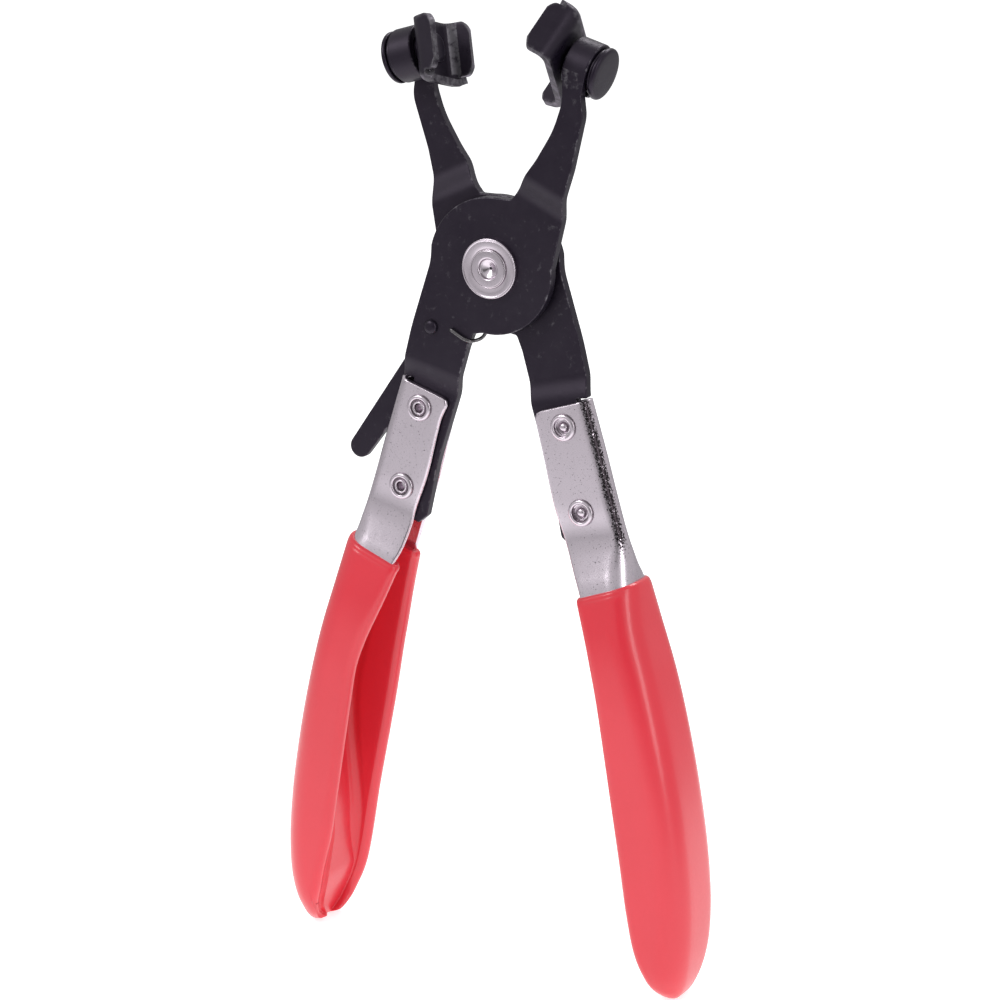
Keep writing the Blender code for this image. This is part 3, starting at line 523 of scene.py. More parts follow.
def paint_groove_shade(made, centre, rings):
    """Mark the grooves of a turned piece with painted shade: each ring has a radius, a width and a strength."""
    values = []
    for vertex in made.data.vertices:
        radius = Vector((vertex.co.x - centre.x, vertex.co.z - centre.z)).length
        values.append(max(strength * max(1.0 - abs(radius - middle) / width, 0.0) for middle, width, strength in rings))
    store(made, "painted_groove_shade", values)


def cut(made, radius, centre, depth=0.012):
    """Drill a round hole from front to back."""
    builder = bmesh.new()
    place = Matrix.Translation(centre) @ FRONT.to_track_quat("Z", "X").to_matrix().to_4x4()
    bmesh.ops.create_cone(
        builder, cap_ends=True, segments=40, radius1=radius, radius2=radius, depth=depth, matrix=place
    )
    tool = bpy.data.objects.new("drill", mesh_of(builder, "drill"))
    bpy.context.scene.collection.objects.link(tool)
    hole = made.modifiers.new("Hole", "BOOLEAN")
    hole.operation = "DIFFERENCE"
    hole.solver = "EXACT"
    hole.object = tool
    settle(made)
    bpy.data.objects.remove(tool)


def rivet_places(side):
    """The handle rivets' centres on one side, each with its label."""
    return {label: PIVOT + Vector((side * mm(x), 0.0, mm(z))) for label, (x, z) in HANDLE_RIVETS.items()}


def curve_builder(curve, merge):
    """A curve's surface as an editable mesh, its double points merged."""
    shape = bpy.data.objects.new(curve.name, curve)
    bpy.context.scene.collection.objects.link(shape)
    graph = bpy.context.evaluated_depsgraph_get()
    mesh = bpy.data.meshes.new_from_object(shape.evaluated_get(graph))
    bpy.data.objects.remove(shape)
    builder = bmesh.new()
    builder.from_mesh(mesh)
    bmesh.ops.remove_doubles(builder, verts=builder.verts, dist=merge)
    return builder


def rounded(points, steps=7):
    """Corner points with their corners rounded, as a list of 2D vectors."""
    result = []
    count = len(points)
    for index, (x, z, radius) in enumerate(points):
        here = Vector((x, z))
        if radius <= 0:
            result.append(here)
            continue
        before = Vector(points[index - 1][:2]) - here
        after = Vector(points[(index + 1) % count][:2]) - here
        reach = min(radius / math.tan(before.angle(after) / 2), before.length * 0.48, after.length * 0.48)
        start = here + before.normalized() * reach
        end = here + after.normalized() * reach
        for step in range(steps + 1):
            t = step / steps
            result.append(start * (1 - t) ** 2 + here * 2 * t * (1 - t) + end * t**2)
    return result


def arc(radius, start, end, steps):
    return [
        (
            radius * math.cos(math.radians(start + (end - start) * step / steps)),
            radius * math.sin(math.radians(start + (end - start) * step / steps)),
            0.0,
        )
        for step in range(steps + 1)
    ]


def pressed_plate(name, outline, sheet, edge):
    """A flat plate in the XZ plane about y = 0, its punched edges rounded."""
    curve = bpy.data.curves.new(name, "CURVE")
    curve.dimensions = "2D"
    curve.fill_mode = "BOTH"
    curve.extrude = sheet / 2 - edge
    curve.bevel_depth = edge
    curve.bevel_resolution = 2
    curve.offset = -edge
    line = curve.splines.new("POLY")
    line.points.add(len(outline) - 1)
    for point, (x, z) in zip(line.points, outline):
        point.co = (x, z, 0.0, 1.0)
    line.use_cyclic_u = True
    builder = curve_builder(curve, 0.000002)
    bmesh.ops.rotate(builder, verts=builder.verts, matrix=Matrix.Rotation(math.pi / 2, 3, "X"))
    bmesh.ops.recalc_face_normals(builder, faces=builder.faces)
    return builder


def score(builder, direction, start, end, count):
    """Cut lines across a plate so that it can bend smoothly between two distances."""
    for step in range(count + 1):
        bmesh.ops.bisect_plane(
            builder,
            geom=builder.verts[:] + builder.edges[:] + builder.faces[:],
            dist=0.0000005,
            plane_co=direction * (start + (end - start) * step / count),
            plane_no=direction,
        )


def ease(value, start, end):
    share = min(max((value - start) / (end - start), 0.0), 1.0)
    return share * share * (3 - 2 * share)


def soften(profile, radius, steps=3):
    """Round the corners of a (radius, height) profile that is not closed."""
    result = [profile[0]]
    for before, here, after in zip(profile, profile[1:], profile[2:]):
        a = Vector(before) - Vector(here)
        b = Vector(after) - Vector(here)
        reach = min(radius, a.length * 0.45, b.length * 0.45)
        start = Vector(here) + a.normalized() * reach
        end = Vector(here) + b.normalized() * reach
        for step in range(steps + 1):
            t = step / steps
            result.append(tuple(start * (1 - t) ** 2 + Vector(here) * 2 * t * (1 - t) + end * t**2))
    result.append(profile[-1])
    return result


def stack(rows, radius, height):
    """Profile points in metres from (radius, height) rows in millimetres, measured from a radius and a height."""
    return [(radius + mm(out), height + mm(rise)) for out, rise in rows]


def both_ends(end, shank, height):
    """A rivet's whole profile from that of one end: its shank, then the same end the other way up."""
    return end + [(shank, height), (shank, -height)] + [(r, -h) for r, h in reversed(end)]


def lathe(name, profile, centre, direction, sides=96, closed=False):
    """A (radius, height) profile spun about a direction through a centre."""
    builder = bmesh.new()
    frame_of = direction.to_track_quat("Z", "X").to_matrix()
    rings = []
    for radius, height in profile:
        if radius < 1e-7:
            rings.append([builder.verts.new(centre + direction * height)])
            continue
        ring = []
        for side in range(sides):
            angle = 2 * math.pi * side / sides
            offset = frame_of @ Vector((radius * math.cos(angle), radius * math.sin(angle), height))
            ring.append(builder.verts.new(centre + offset))
        rings.append(ring)
    pairs = list(zip(rings, rings[1:]))
    if closed:
        pairs.append((rings[-1], rings[0]))
    for first, second in pairs:
        for i in range(sides):
            j = (i + 1) % sides
            quad = [first[i % len(first)], first[j % len(first)], second[j % len(second)], second[i % len(second)]]
            corners = list(dict.fromkeys(quad))
            if len(corners) > 2:
                builder.faces.new(corners)
    bmesh.ops.recalc_face_normals(builder, faces=builder.faces)
    return mesh_of(builder, name)


def through(points, spacing):
    """Points on a smooth curve through the given ones, about a spacing apart."""
    vectors = [Vector(point) for point in points]
    ends = [vectors[0] * 2 - vectors[1]] + vectors + [vectors[-1] * 2 - vectors[-2]]
    result = []
    for before, start, end, after in zip(ends, ends[1:], ends[2:], ends[3:]):
        knots = [0.0]
        for a, b in ((before, start), (start, end), (end, after)):
            knots.append(knots[-1] + max((b - a).length, 1e-9) ** 0.5)
        count = max(1, round((end - start).length / spacing))
        for step in range(count):
            t = knots[1] + (knots[2] - knots[1]) * step / count

            def between(a, b, first, second):
                return a * ((knots[second] - t) / (knots[second] - knots[first])) + b * (
                    (t - knots[first]) / (knots[second] - knots[first])
                )

            one = between(before, start, 0, 1)
            two = between(start, end, 1, 2)
            three = between(end, after, 2, 3)
            result.append(between(between(one, two, 0, 2), between(two, three, 1, 3), 1, 2))
    result.append(vectors[-1])
    return result


def sizes():
    return bpy.context.scene.pliers_sizes


# ---------------------------------------------------------------- arms
def arm_outline(size, ratchet):
    """The pressing's outline. The rear arm's disc has the ratchet's gaps."""
    corners = UPPER_OUTER[:3] + SHOULDERS[ratchet] + UPPER_OUTER[4:]
    points = [all_mm(*corner) for corner in corners]
    if ratchet:
        # Mirrored into the front arm's half: the gaps face the lock lever.
        points += arc(size.disc, 3.0, -16.5, 6)
        root = size.disc - mm(TOOTH_DEPTH)
        for number in range(TOOTH_COUNT):
            start = -17.0 - 4.6 * number
            for radius, back in ((size.disc, 0.0), (root, 0.5), (root, 1.3), (size.disc, 4.1)):
                turn = math.radians(start - back)
                points.append((radius * math.cos(turn), radius * math.sin(turn), 0.0))
        points += arc(size.disc, -55.0, -98.0, 14)
    else:
        points += arc(size.disc, 3.0, -98.0, 34)
    points += [all_mm(*corner) for corner in LOWER_INNER]
    points += arc(size.crown, 166.0, 84.0, 28)
    points += [all_mm(*corner) for corner in UPPER_INNER]
    return rounded(points)


def arm_plate(name, size, ratchet):
    builder = pressed_plate(name, arm_outline(size, ratchet), size.sheet, size.punched_edge)
    eye = EYES["right"] - PIVOT
    to_jaw = Vector((eye.x, 0.0, eye.z)).normalized()
    upper_step = all_mm(*UPPER_STEP)
    lower_step = all_mm(*LOWER_STEP)
    score(builder, to_jaw, *upper_step, 14)
    score(builder, TO_HANDLE, *lower_step, 12)
    middle = size.gap / 2 + size.sheet / 2
    eye_middle = size.eye - size.sheet / 2
    for vert in builder.verts:
        upper = ease(vert.co.dot(to_jaw), *upper_step)
        lower = ease(vert.co.dot(TO_HANDLE), *lower_step)
        vert.co.y += -middle - upper * (eye_middle - middle) + lower * middle
    return builder


def curled_eye(builder, size):
    """The strap's end curled round the jaw pin: a wall that starts on the plate's front and goes over the top."""
    eye = EYES["right"] - PIVOT
    along = -INWARD["right"]
    up = Vector((-along.z, 0.0, along.x))
    outer = size.eye
    inner = size.eye_bore
    half = size.eye_length / 2
    corner = mm(0.45)
    profile = []
    for x_sign, r_at, start in ((1, outer, 0), (-1, outer, 90), (-1, inner, 180), (1, inner, 270)):
        r_sign = 1 if r_at == outer else -1
        for step in range(5):
            turn = math.radians(start + 90 * step / 4)
            x = x_sign * (half - corner) + corner * math.cos(turn)
            r = r_at - r_sign * corner + corner * math.sin(turn)
            profile.append((x, r))
    rings = []
    count = 84
    for step in range(count + 1):
        turn = math.radians(-34 + 326 * step / count)
        outward = FRONT * math.cos(turn) + up * math.sin(turn)
        rings.append([builder.verts.new(eye + along * x + outward * r) for x, r in profile])
    for first, second in zip(rings, rings[1:]):
        for i in range(len(profile)):
            j = (i + 1) % len(profile)
            builder.faces.new((first[i], first[j], second[j], second[i]))
    builder.faces.new(rings[0])
    builder.faces.new(rings[-1])


def build_arm(name, body, rear):
    size = sizes()
    builder = arm_plate(name, size, rear)
    curled = bmesh.new()
    curled_eye(curled, size)
    bmesh.ops.recalc_face_normals(curled, faces=curled.faces)
    for part in (builder, curled):
        if rear:
            bmesh.ops.rotate(part, verts=part.verts, matrix=Matrix.Rotation(math.pi, 3, "Z"))
        bmesh.ops.translate(part, verts=part.verts, vec=PIVOT)
    made = show(name, mesh_of(builder, name), "black_sheet", None)
    for centre in rivet_places(1.0 if rear else -1.0).values():
        cut(made, size.rivet_shank, centre)
    whole = bmesh.new()
    whole.from_mesh(made.data)
    whole.from_mesh(mesh_of(curled, "eye"))
    made.data = mesh_of(whole, name)
    made.data.materials.append(finishes()["black_sheet"].material)
    mark_edges(made)
    flatten_shading(made)
    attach(made, body)
    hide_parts("rear_arm" if rear else "front_arm")


# ---------------------------------------------------------------- pivot and rivets
def washer_mesh(name, inner, outer, sheet, centre, direction, edge, groove=False):
    """A flat ring with a rounded rim on both faces."""
    half = sheet / 2
    profile = [(inner, half)]
    if groove:
        for inset, sink in ((0.62, 0.0), (0.56, 0.09), (0.44, 0.09), (0.38, 0.0)):
            profile.append((outer - mm(inset), half - mm(sink)))
    for step in range(5):
        turn = math.radians(90 - 90 * step / 4)
        profile.append((outer - edge + edge * math.cos(turn), half - edge + edge * math.sin(turn)))
    for step in range(5):
        turn = math.radians(-90 * step / 4)
        profile.append((outer - edge + edge * math.cos(turn), -half + edge + edge * math.sin(turn)))
    profile.append((inner, -half))
    return lathe(name, profile, centre, direction, closed=True)


def pivot_rivet_mesh(size):
    """A solid rivet with a rolled rim at each end and a conical dimple pressed in its face."""
    seat = size.gap / 2 + size.sheet + mm(1.2)
    face = seat + mm(0.28)
    rim = size.rivet_rim
    end = stack(((0.0, -1.55), (0.45, -1.45), (1.7, -0.75), (2.1, -0.62), (2.35, -0.12), (2.6, 0.0)), 0.0, face)
    end += stack(((-0.42, -0.02), (-0.3, -0.16), (-0.16, -0.05), (0.0, -0.2)), rim, face)
    end = soften(end + [(rim + mm(0.02), seat - mm(0.05))], mm(0.12))
    return lathe("pivot_rivet_body", both_ends(end, size.shank, seat - mm(0.05)), PIVOT, -FRONT)


def handle_rivet_mesh(name, size, centre, hollow):
    """A rivet through the handle: a rolled outer ring round a tube that is open or filled by a dome."""
    seat = mm(2.72)
    face = seat + mm(0.72)
    if hollow:
        rows = ((0.0, -2.4), (0.75, -2.3), (0.95, -0.55), (1.15, -0.12), (1.45, -0.10), (1.65, -0.5))
    else:
        rows = ((0.0, -0.25), (0.5, -0.32), (0.95, -0.68), (1.2, -1.3), (1.75, -1.35))
    end = stack(rows + ((2.0, -0.8), (2.12, -0.12), (2.4, 0.0)), 0.0, face)
    end += stack(((-0.25, -0.12), (0.0, -0.38)), size.handle_rivet, face)
    end = soften(end + [(size.handle_rivet + mm(0.05), seat - mm(0.03))], mm(0.22))
    return lathe(name, both_ends(end, size.rivet_shank - mm(0.03), seat - mm(0.03)), centre, -FRONT, 72)


# ---------------------------------------------------------------- handles
def handle_line(entries, side, spacing, straight=0):
    """Stations of a handle as (outer, inner, half depth), close together on a smooth line."""
    rows = []
    for outer_x, outer_z, inner_x, inner_z, half in entries:
        bow_outer = max(RIVET_LINE - outer_z, 0.0) * HANDLE_BOW
        bow_inner = max(RIVET_LINE - inner_z, 0.0) * HANDLE_BOW
        rows.append((side * outer_x + bow_outer, outer_z, side * inner_x + bow_inner, inner_z, half))
    # Each line's third number is the half depth, so that it is smoothed with the line.
    bent = rows[straight:]
    outer = [Vector((row[0], row[1], row[4])) for row in bent]
    inner = [Vector((row[2], row[3], row[4])) for row in bent]
    ends = [inner[0] * 2 - inner[1]] + inner + [inner[-1] * 2 - inner[-2]]
    inner_line = []
    for index, (first, last) in enumerate(zip(outer, outer[1:])):
        before, start, end, after = ends[index : index + 4]
        slope = end - before
        curve = 2 * before - 5 * start + 4 * end - after
        twist = 3 * start - before - 3 * end + after
        count = max(1, round((last - first).length / spacing))
        for t in (step / count for step in range(count)):
            inner_line.append(start + (slope * t + curve * t**2 + twist * t**3) * 0.5)
    inner_line.append(inner[-1])
    lines = [((row[0], row[1]), (row[2], row[3]), row[4]) for row in rows[:straight]]
    lines += [((a.x, a.y), (b.x, b.y), a.z) for a, b in zip(through(outer, spacing), inner_line)]
    return [(Vector((mm(a), 0.0, mm(b))), Vector((mm(c), 0.0, mm(d))), mm(half)) for (a, b), (c, d), half in lines]


def edge_trims(side, z):
    """How far the front and back free edges are drawn in, and how far the coat fills the hollow, at a height."""
    fill = ease(-z, mm(103), mm(139)) * mm(6.5)
    if side > 0:
        return 0.0, 0.0, fill
    front = 0.0
    for start, end, amount in EDGE_WAVES:
        front += mm(amount) * ease(-z, mm(start), mm(end))
    back = mm(-1.1) * (ease(-z, mm(62), mm(90)) - ease(-z, mm(98), mm(142)))
    return front, back, fill


def channel_section(station, out, thin, size, trims=(0.0, 0.0, 0.0)):
    """The closed outline of a U with round corners and round free edges, with a tag for each point."""
    outer, inner, half = station
    along = (outer - inner).normalized()
    width = (outer - inner).length
    steps = 10
    points = []
    rim = (out + thin) / 2
    for shift, backwards in ((out, False), (-thin, True)):
        reach = max(width + shift - (trims[2] if backwards else 0.0), mm(0.6))
        depth = max(half + shift, mm(0.25))
        corner = min(half - mm(0.15), size.channel_corner) + shift
        corner = max(min(max(corner, mm(0.12)), depth - mm(0.1), reach - mm(0.1)), mm(0.05))
        path = []
        for side in (-1, 1):
            flank = []
            start = min(trims[0] if side < 0 else trims[1], reach - corner - mm(0.2))
            for step in range(6):
                flank.append((start + (reach - corner - start) * step / 6, side * depth, "flank", side))
            bend = []
            for step in range(steps + 1):
                turn = math.pi / 2 * step / steps
                across = reach - corner + corner * math.sin(turn)
                bend.append((across, side * (depth - corner + corner * math.cos(turn)), "fold", step / steps * side))
            piece = flank + bend
            path += piece if side < 0 else piece[::-1]
        tags = [("inside" if backwards else "outside", kind, share) for _, _, kind, share in path]
        line = [(a, d) for a, d, _, _ in path]
        if backwards:
            line.reverse()
            tags.reverse()
        points += [(a, d, tag) for (a, d), tag in zip(line, tags)]
        # The round free edge between this side's end and the other side's start.
        sign = 1 if not backwards else -1
        centre = sign * (half + (out - thin) / 2)
        centre = sign * max(abs(centre), mm(0.2))
        for step in range(1, 6):
            turn = math.pi * step / 6
            a = min(trims[1] if sign > 0 else trims[0], width - mm(0.8)) - rim * math.sin(turn)
            d = centre + sign * rim * math.cos(turn) * (1 if not backwards else -1)
            points.append((a, d, ("rim", "rim", sign)))
    return [(inner + along * a + Vector((0.0, d, 0.0)), tag) for a, d, tag in points]


def channel_mesh(name, stations, outs, thin, size, marks, side, coated):
    """A loft through U sections. outs gives the outward offset at each station."""
    builder = bmesh.new()
    layers = {key: builder.verts.layers.float.new(key) for key in marks}
    rings = []
    for index, station in enumerate(stations):
        out = outs[index]
        ring = []
        trims = edge_trims(side, station[1].z)
        if not coated:
            trims = (*trims[:2], 0.0)
        for point, tag in channel_section(station, out, thin, size, trims):
            vert = builder.verts.new(point + PIVOT)
            for key, rule in marks.items():
                vert[layers[key]] = rule(tag, point)
            ring.append(vert)
        rings.append(ring)
    count = len(rings[0])
    for first, second in zip(rings, rings[1:]):
        for i in range(count):
            j = (i + 1) % count
            builder.faces.new((first[i], first[j], second[j], second[i]))
    # Ends: bridge the outside line to the inside line.
    side_count = (count - 10) // 2
    for ring in (rings[0], rings[-1]):
        for i in range(side_count - 1):
            j = 2 * side_count + 4 - i
            builder.faces.new((ring[i], ring[i + 1], ring[j - 1], ring[j]))
        builder.faces.new([ring[side_count - 1 + k] for k in range(7)])
        builder.faces.new([ring[(2 * side_count + 4 + k) % count] for k in range(7)])
    bmesh.ops.recalc_face_normals(builder, faces=builder.faces)
    return mesh_of(builder, name)


def fold_reflection_rule(side):
    """Marks the front fold of the right handle, where the painted dark reflection runs."""

    def rule(tag, point):
        place, kind, share = tag
        if side < 0 or place != "outside" or kind != "fold" or share > 0 or point.z > mm(-26):
            return 0.0
        fade = 1.0 - ease(-point.z, mm(56), mm(63))
        return max(0.0, 1.0 - abs(abs(share) - 0.55) / 0.42) * fade

    return rule


def shade_rule(tag, point):
    """Marks the inside of the grips' web with painted shade, strongest in the bends and faint on the flanks. It fades
    towards the filled end.
    """
    if tag[0] != "inside":
        return 0.0
    return (1.0 if tag[1] == "fold" else 0.15) * (1.0 - 0.75 * ease(-point.z, mm(112), mm(135)))


def build_channel(prefix):
    size = sizes()
    side = SIDE[prefix]
    stations = handle_line(CHANNEL, side, 1.6, 2)
    name = prefix + "_channel"
    # The mark places the painted reflection along the front fold.
    marks = {"painted_fold_reflection": fold_reflection_rule(side)}
    mesh = channel_mesh(name, stations, [0.0] * len(stations), size.channel_sheet, size, marks, side, False)
    made = show(name, mesh, "fold", None)
    for centre in rivet_places(side).values():
        cut(made, size.rivet_shank, centre)
    flatten_shading(made)
    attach(made, HANDLE_BODY[prefix])
    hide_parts(prefix + "_handle_channel")


def build_grip(prefix):
    size = sizes()
    top = GRIP_TOPS[prefix]
    stations = handle_line((top,) + CHANNEL[GRIP_FIRST:] + GRIP_END, SIDE[prefix], 1.5)
    lead = stations[0]
    fall = (stations[1][0] - lead[0]).normalized()
    # The coat's top edge rolls over from the steel to its full thickness.
    outs = [size.coat * (0.12 + 0.88 * math.sin(math.radians(90 * step / 5))) for step in range(6)]
    rolled = []
    for step in range(6):
        turn = math.radians(90 * step / 5)
        drop = fall * (size.coat * (1 - math.cos(turn)))
        rolled.append((lead[0] + drop, lead[1] + drop, lead[2]))
    body = stations[1:]
    name = prefix + "_dipped_grip"
    mesh = channel_mesh(
        name,
        rolled + body,
        outs + [size.coat] * len(body),
        size.channel_sheet + size.coat,
        size,
        {"shaded": shade_rule},
        SIDE[prefix],
        True,
    )
    made = show(name, mesh, "grip", HANDLE_BODY[prefix], prefix + "_grip")
    smooth = made.modifiers.new("Smooth", "SUBSURF")
    smooth.levels = 1
    smooth.render_levels = 1


# ---------------------------------------------------------------- springs and lever
def wire_mesh(name, points, radius, spacing, start, end, node):
    """A round wire along a smooth line. Its start and end places are not used."""
    curve = bpy.data.curves.new(name, "CURVE")
    curve.dimensions = "3D"
    curve.bevel_depth = radius
    curve.bevel_resolution = 4
    curve.use_fill_caps = True
    route = through(points, spacing)
    line = curve.splines.new("POLY")
    line.points.add(len(route) - 1)
    for point, place in zip(line.points, route):
        point.co = (*(place + PIVOT), 1.0)
    piece = show(name, mesh_of(curve_builder(curve, 0.000001), name), "wire", None)
    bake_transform(piece)
    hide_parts(node)


def opening_spring_route(size):
    """One leg hooks over the front arm, the ring goes round the spacer, and a tang sits in the rear arm."""
    front_face = -size.gap / 2 - size.sheet - size.spring_wire - mm(0.1)
    over = ((-9.9, 0.0, -14.7), (-8.1, 0.0, -15.7), (-6.5, 0.0, -16.5), (-5.4, 0.35, -16.9))
    under = ((-4.7, -2.0, -17.0), (-3.8, -0.8, -16.7), (-3.0, -0.2, -15.8), (-2.7, 0.0, -14.5))
    hook = [(mm(x), front_face + mm(y), mm(z)) for x, y, z in over]
    hook += [(mm(x), mm(y), mm(z)) for x, y, z in under + ((-3.2, 0.0, -12.4), (-5.2, 0.0, -8.6))]
    ring = []
    for step in range(25):
        turn = math.radians(222.0 - 250.0 * step / 24)
        ring.append((mm(7.2) * math.cos(turn), 0.0, mm(7.2) * math.sin(turn)))
    back = size.gap / 2 + size.sheet + mm(0.5)
    return hook + ring + [(mm(8.8), mm(0.02), mm(-8.0)), (mm(9.3), mm(0.35), mm(-8.4)), (mm(9.3), back, mm(-8.4))]


def lever_spring_route():
    """Small coil behind the lever's hub, between the lever's tail and the front arm."""
    centre = LEVER_PIN - PIVOT
    first = mm(LEVER_FRONT) + sizes().lever_sheet + mm(0.37)
    points = []
    for step in range(31):
        turn = math.radians(-100.0 + 540.0 * step / 30)
        offset = Vector((math.cos(turn), 0.0, math.sin(turn))) * mm(1.85)
        points.append(centre + offset + Vector((0.0, first + mm(0.93) * step / 30, 0.0)))
    leg = points[-1] + Vector((mm(6.2), 0.0, mm(-0.6)))
    tail = points[0] + Vector((mm(-1.3), mm(0.1), mm(-0.9)))
    return [tail] + points + [leg, leg + Vector((mm(0.4), mm(-3.6), mm(-0.3)))]


def lever_outline():
    """The tail's round tip, the hub, and the arm with the ratchet tooth."""
    along = Vector((-0.555, -0.832))
    across = Vector((-0.832, 0.555))
    pin = Vector(((LEVER_PIN - PIVOT).x, (LEVER_PIN - PIVOT).z))
    tip = pin + along * mm(39.1) + across * mm(1.3)
    points = []
    for step in range(17):
        turn = math.pi * step / 16
        points.append(tip + (across * math.cos(turn) + along * math.sin(turn)) * mm(2.6))
    points.append(pin + along * mm(4) - across * mm(LEVER_HUB))
    for step in range(13):
        turn = math.radians(-20 + 100 * step / 12)
        points.append(pin + Vector((math.cos(turn), math.sin(turn))) * mm(LEVER_HUB))
    for x, z in ((-15.6, -8.2), (-14.55, -4.7), (-15.0, -3.1), (-17.9, -3.3), (-19.0, -6.0), (-18.9, -11.0)):
        points.append(Vector((mm(x), mm(z))))
    points.append(pin + across * mm(LEVER_HUB))
    return points


def build_lever():
    size = sizes()
    builder = pressed_plate("lock_lever_plate", lever_outline(), size.lever_sheet, mm(0.3))
    along = Vector((-0.555, 0.0, -0.832)).normalized()
    hub = (LEVER_PIN - PIVOT).dot(along)
    step = [hub + mm(value) for value in LEVER_STEP]
    score(builder, along, *step, 10)
    for vert in builder.verts:
        back = ease(vert.co.dot(along), *step)
        vert.co.y += mm(LEVER_FRONT) + size.lever_sheet / 2 + mm(LEVER_SET_BACK) * back
    bmesh.ops.translate(builder, verts=builder.verts, vec=PIVOT)
    made = show("lock_lever_plate", mesh_of(builder, "lock_lever_plate"), "black_sheet", None)
    cut(made, mm(LEVER_PIN_RADIUS + 0.04), LEVER_PIN)
    mark_edges(made)
    flatten_shading(made)
    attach(made, "lock_lever_body")
    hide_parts("lock_lever")

    front = -size.gap / 2 - size.sheet - mm(0.05)
    back = mm(LEVER_FRONT) + size.lever_sheet
    collar = -size.gap / 2 + mm(0.15)
    pin = mm(LEVER_PIN_RADIUS)
    profile = stack(((0.0, 2.3), (1.5, 2.25), (1.95, 1.95), (2.0, 1.6)), 0.0, back)
    profile += [(pin, back + mm(1.6)), (pin, mm(0.6)), all_mm(2.4, 0.6)]
    profile += [(mm(2.4), collar), (pin, collar), (pin, front)]
    profile += stack(((1.62, 0.0), (1.6, -0.35), (1.35, -0.72), (0.8, -0.95), (0.0, -1.0)), 0.0, front)
    centre = Vector((LEVER_PIN.x, 0.0, LEVER_PIN.z))
    mesh = lathe("lever_pin", soften(profile, mm(0.15)), centre, -FRONT, 64)
    mark_edges(show("lever_pin", mesh, "black_turned", "front_arm_body", "lock_lever_pin"))


# ---------------------------------------------------------------- jaws and their pins
def jaw_frame(prefix):
    """Where a jaw sits: local Y is its length, local X its width and local Z points to the other jaw."""
    size = sizes()
    inward = INWARD[prefix]
    side = SIDE[prefix]
    up = Vector((side * inward.z, 0.0, abs(inward.x)))
    across = up.cross(inward)
    axes = Matrix((up, across, inward)).transposed()
    base = size.eye_length / 2 + size.jaw_gap + size.jaw_sheet / 2
    spin = (axes @ Matrix.Rotation(math.radians(JAW_TURN[prefix]), 3, "Z")).to_4x4()
    shift = Matrix.Translation((0.0, mm(JAW_SHIFT[prefix]), 0.0))
    return Matrix.Translation(EYES[prefix] + inward * base) @ spin @ shift


def jaw_line(size, half_length):
    """The strip's middle line as (length, height, half width), from one flange to the other."""
    flare = math.radians(14.0)
    fold = mm(3.0)
    bend = math.pi / 2 - flare
    start = half_length - size.jaw_sheet / 2 - fold
    half = [(start * step / 8, 0.0, size.jaw_width) for step in range(8)]
    for step in range(11):
        turn = bend * step / 10
        half.append((start + fold * math.sin(turn), fold * (1 - math.cos(turn)), size.jaw_width))
    length, height, _ = half[-1]
    rise = (size.jaw_flange - height) / math.cos(flare)
    for step in range(1, 13):
        share = step / 12
        narrow = size.jaw_width - mm(1.9) * max(0.0, (share - 0.45) / 0.55) ** 2.6
        half.append(
            (length + rise * share * math.sin(flare), height + rise * share * math.cos(flare), narrow)
        )
    return [(-length, height, width) for length, height, width in reversed(half[1:])] + half


def mark_fold(made, inverse, length):
    """Add the rubbed line that the clamp's tabs leave along the inside of one fold."""
    layer = made.data.attributes["edge_wear"].data
    for vert in made.data.vertices:
        local = inverse @ vert.co
        if abs(local.y - length) < mm(0.5) and local.z > mm(0.7) and abs(local.x) < mm(5.4):
            layer[vert.index].value = max(layer[vert.index].value, 0.85)


def build_jaw(prefix):
    size = sizes()
    half_length = size.left_jaw if prefix == "left" else size.right_jaw
    line = jaw_line(size, half_length)
    builder = bmesh.new()
    columns = 12
    lip_side = SIDE[prefix]
    rows = []
    for length, height, width in line:
        rows.append(
            [builder.verts.new((width * (2 * c / columns - 1), length, height)) for c in range(columns + 1)]
        )
    for first, second in zip(rows, rows[1:]):
        for c in range(columns):
            builder.faces.new((first[c], first[c + 1], second[c + 1], second[c]))
    # The lip along one long side rises between the folds and fades out up their bends.
    edge_column = columns if lip_side > 0 else 0
    last = None
    limit = half_length - mm(3.6)
    for (length, height, width), row in zip(line, rows):
        if height > mm(2.4):
            last = None
            continue
        share = 1 - 0.5 * ease(abs(length), limit, limit + mm(3.4))
        strip = [row[edge_column]]
        for out, rise in JAW_LIP:
            strip.append(builder.verts.new((lip_side * (width + mm(out) * share), length, height + mm(rise) * share)))
        if last:
            for a, b, c, d in zip(last, last[1:], strip[1:], strip):
                builder.faces.new((a, b, c, d))
        last = strip
    bmesh.ops.recalc_face_normals(builder, faces=builder.faces)
    if sum(face.normal.z for face in builder.faces) < 0:
        bmesh.ops.reverse_faces(builder, faces=builder.faces)
    place = jaw_frame(prefix)
    bmesh.ops.transform(builder, matrix=place, verts=builder.verts)
    name = prefix + "_jaw_saddle"
    made = show(name, mesh_of(builder, name), "black_jaw", None)
    thick = made.modifiers.new("Sheet", "SOLIDIFY")
    thick.thickness = size.jaw_sheet
    thick.offset = 0.0
    thick.use_even_offset = True
    edge = made.modifiers.new("Edges", "BEVEL")
    edge.width = mm(0.34)
    edge.segments = 3
    edge.limit_method = "ANGLE"
    edge.angle_limit = math.radians(50)
    settle(made)
    mark_edges(made, 1)
    mark_fold(made, place.inverted(), half_length - mm(2.0))
    flatten_shading(made)
    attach(made, JAW_BODY[prefix])
    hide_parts(prefix + "_jaw")


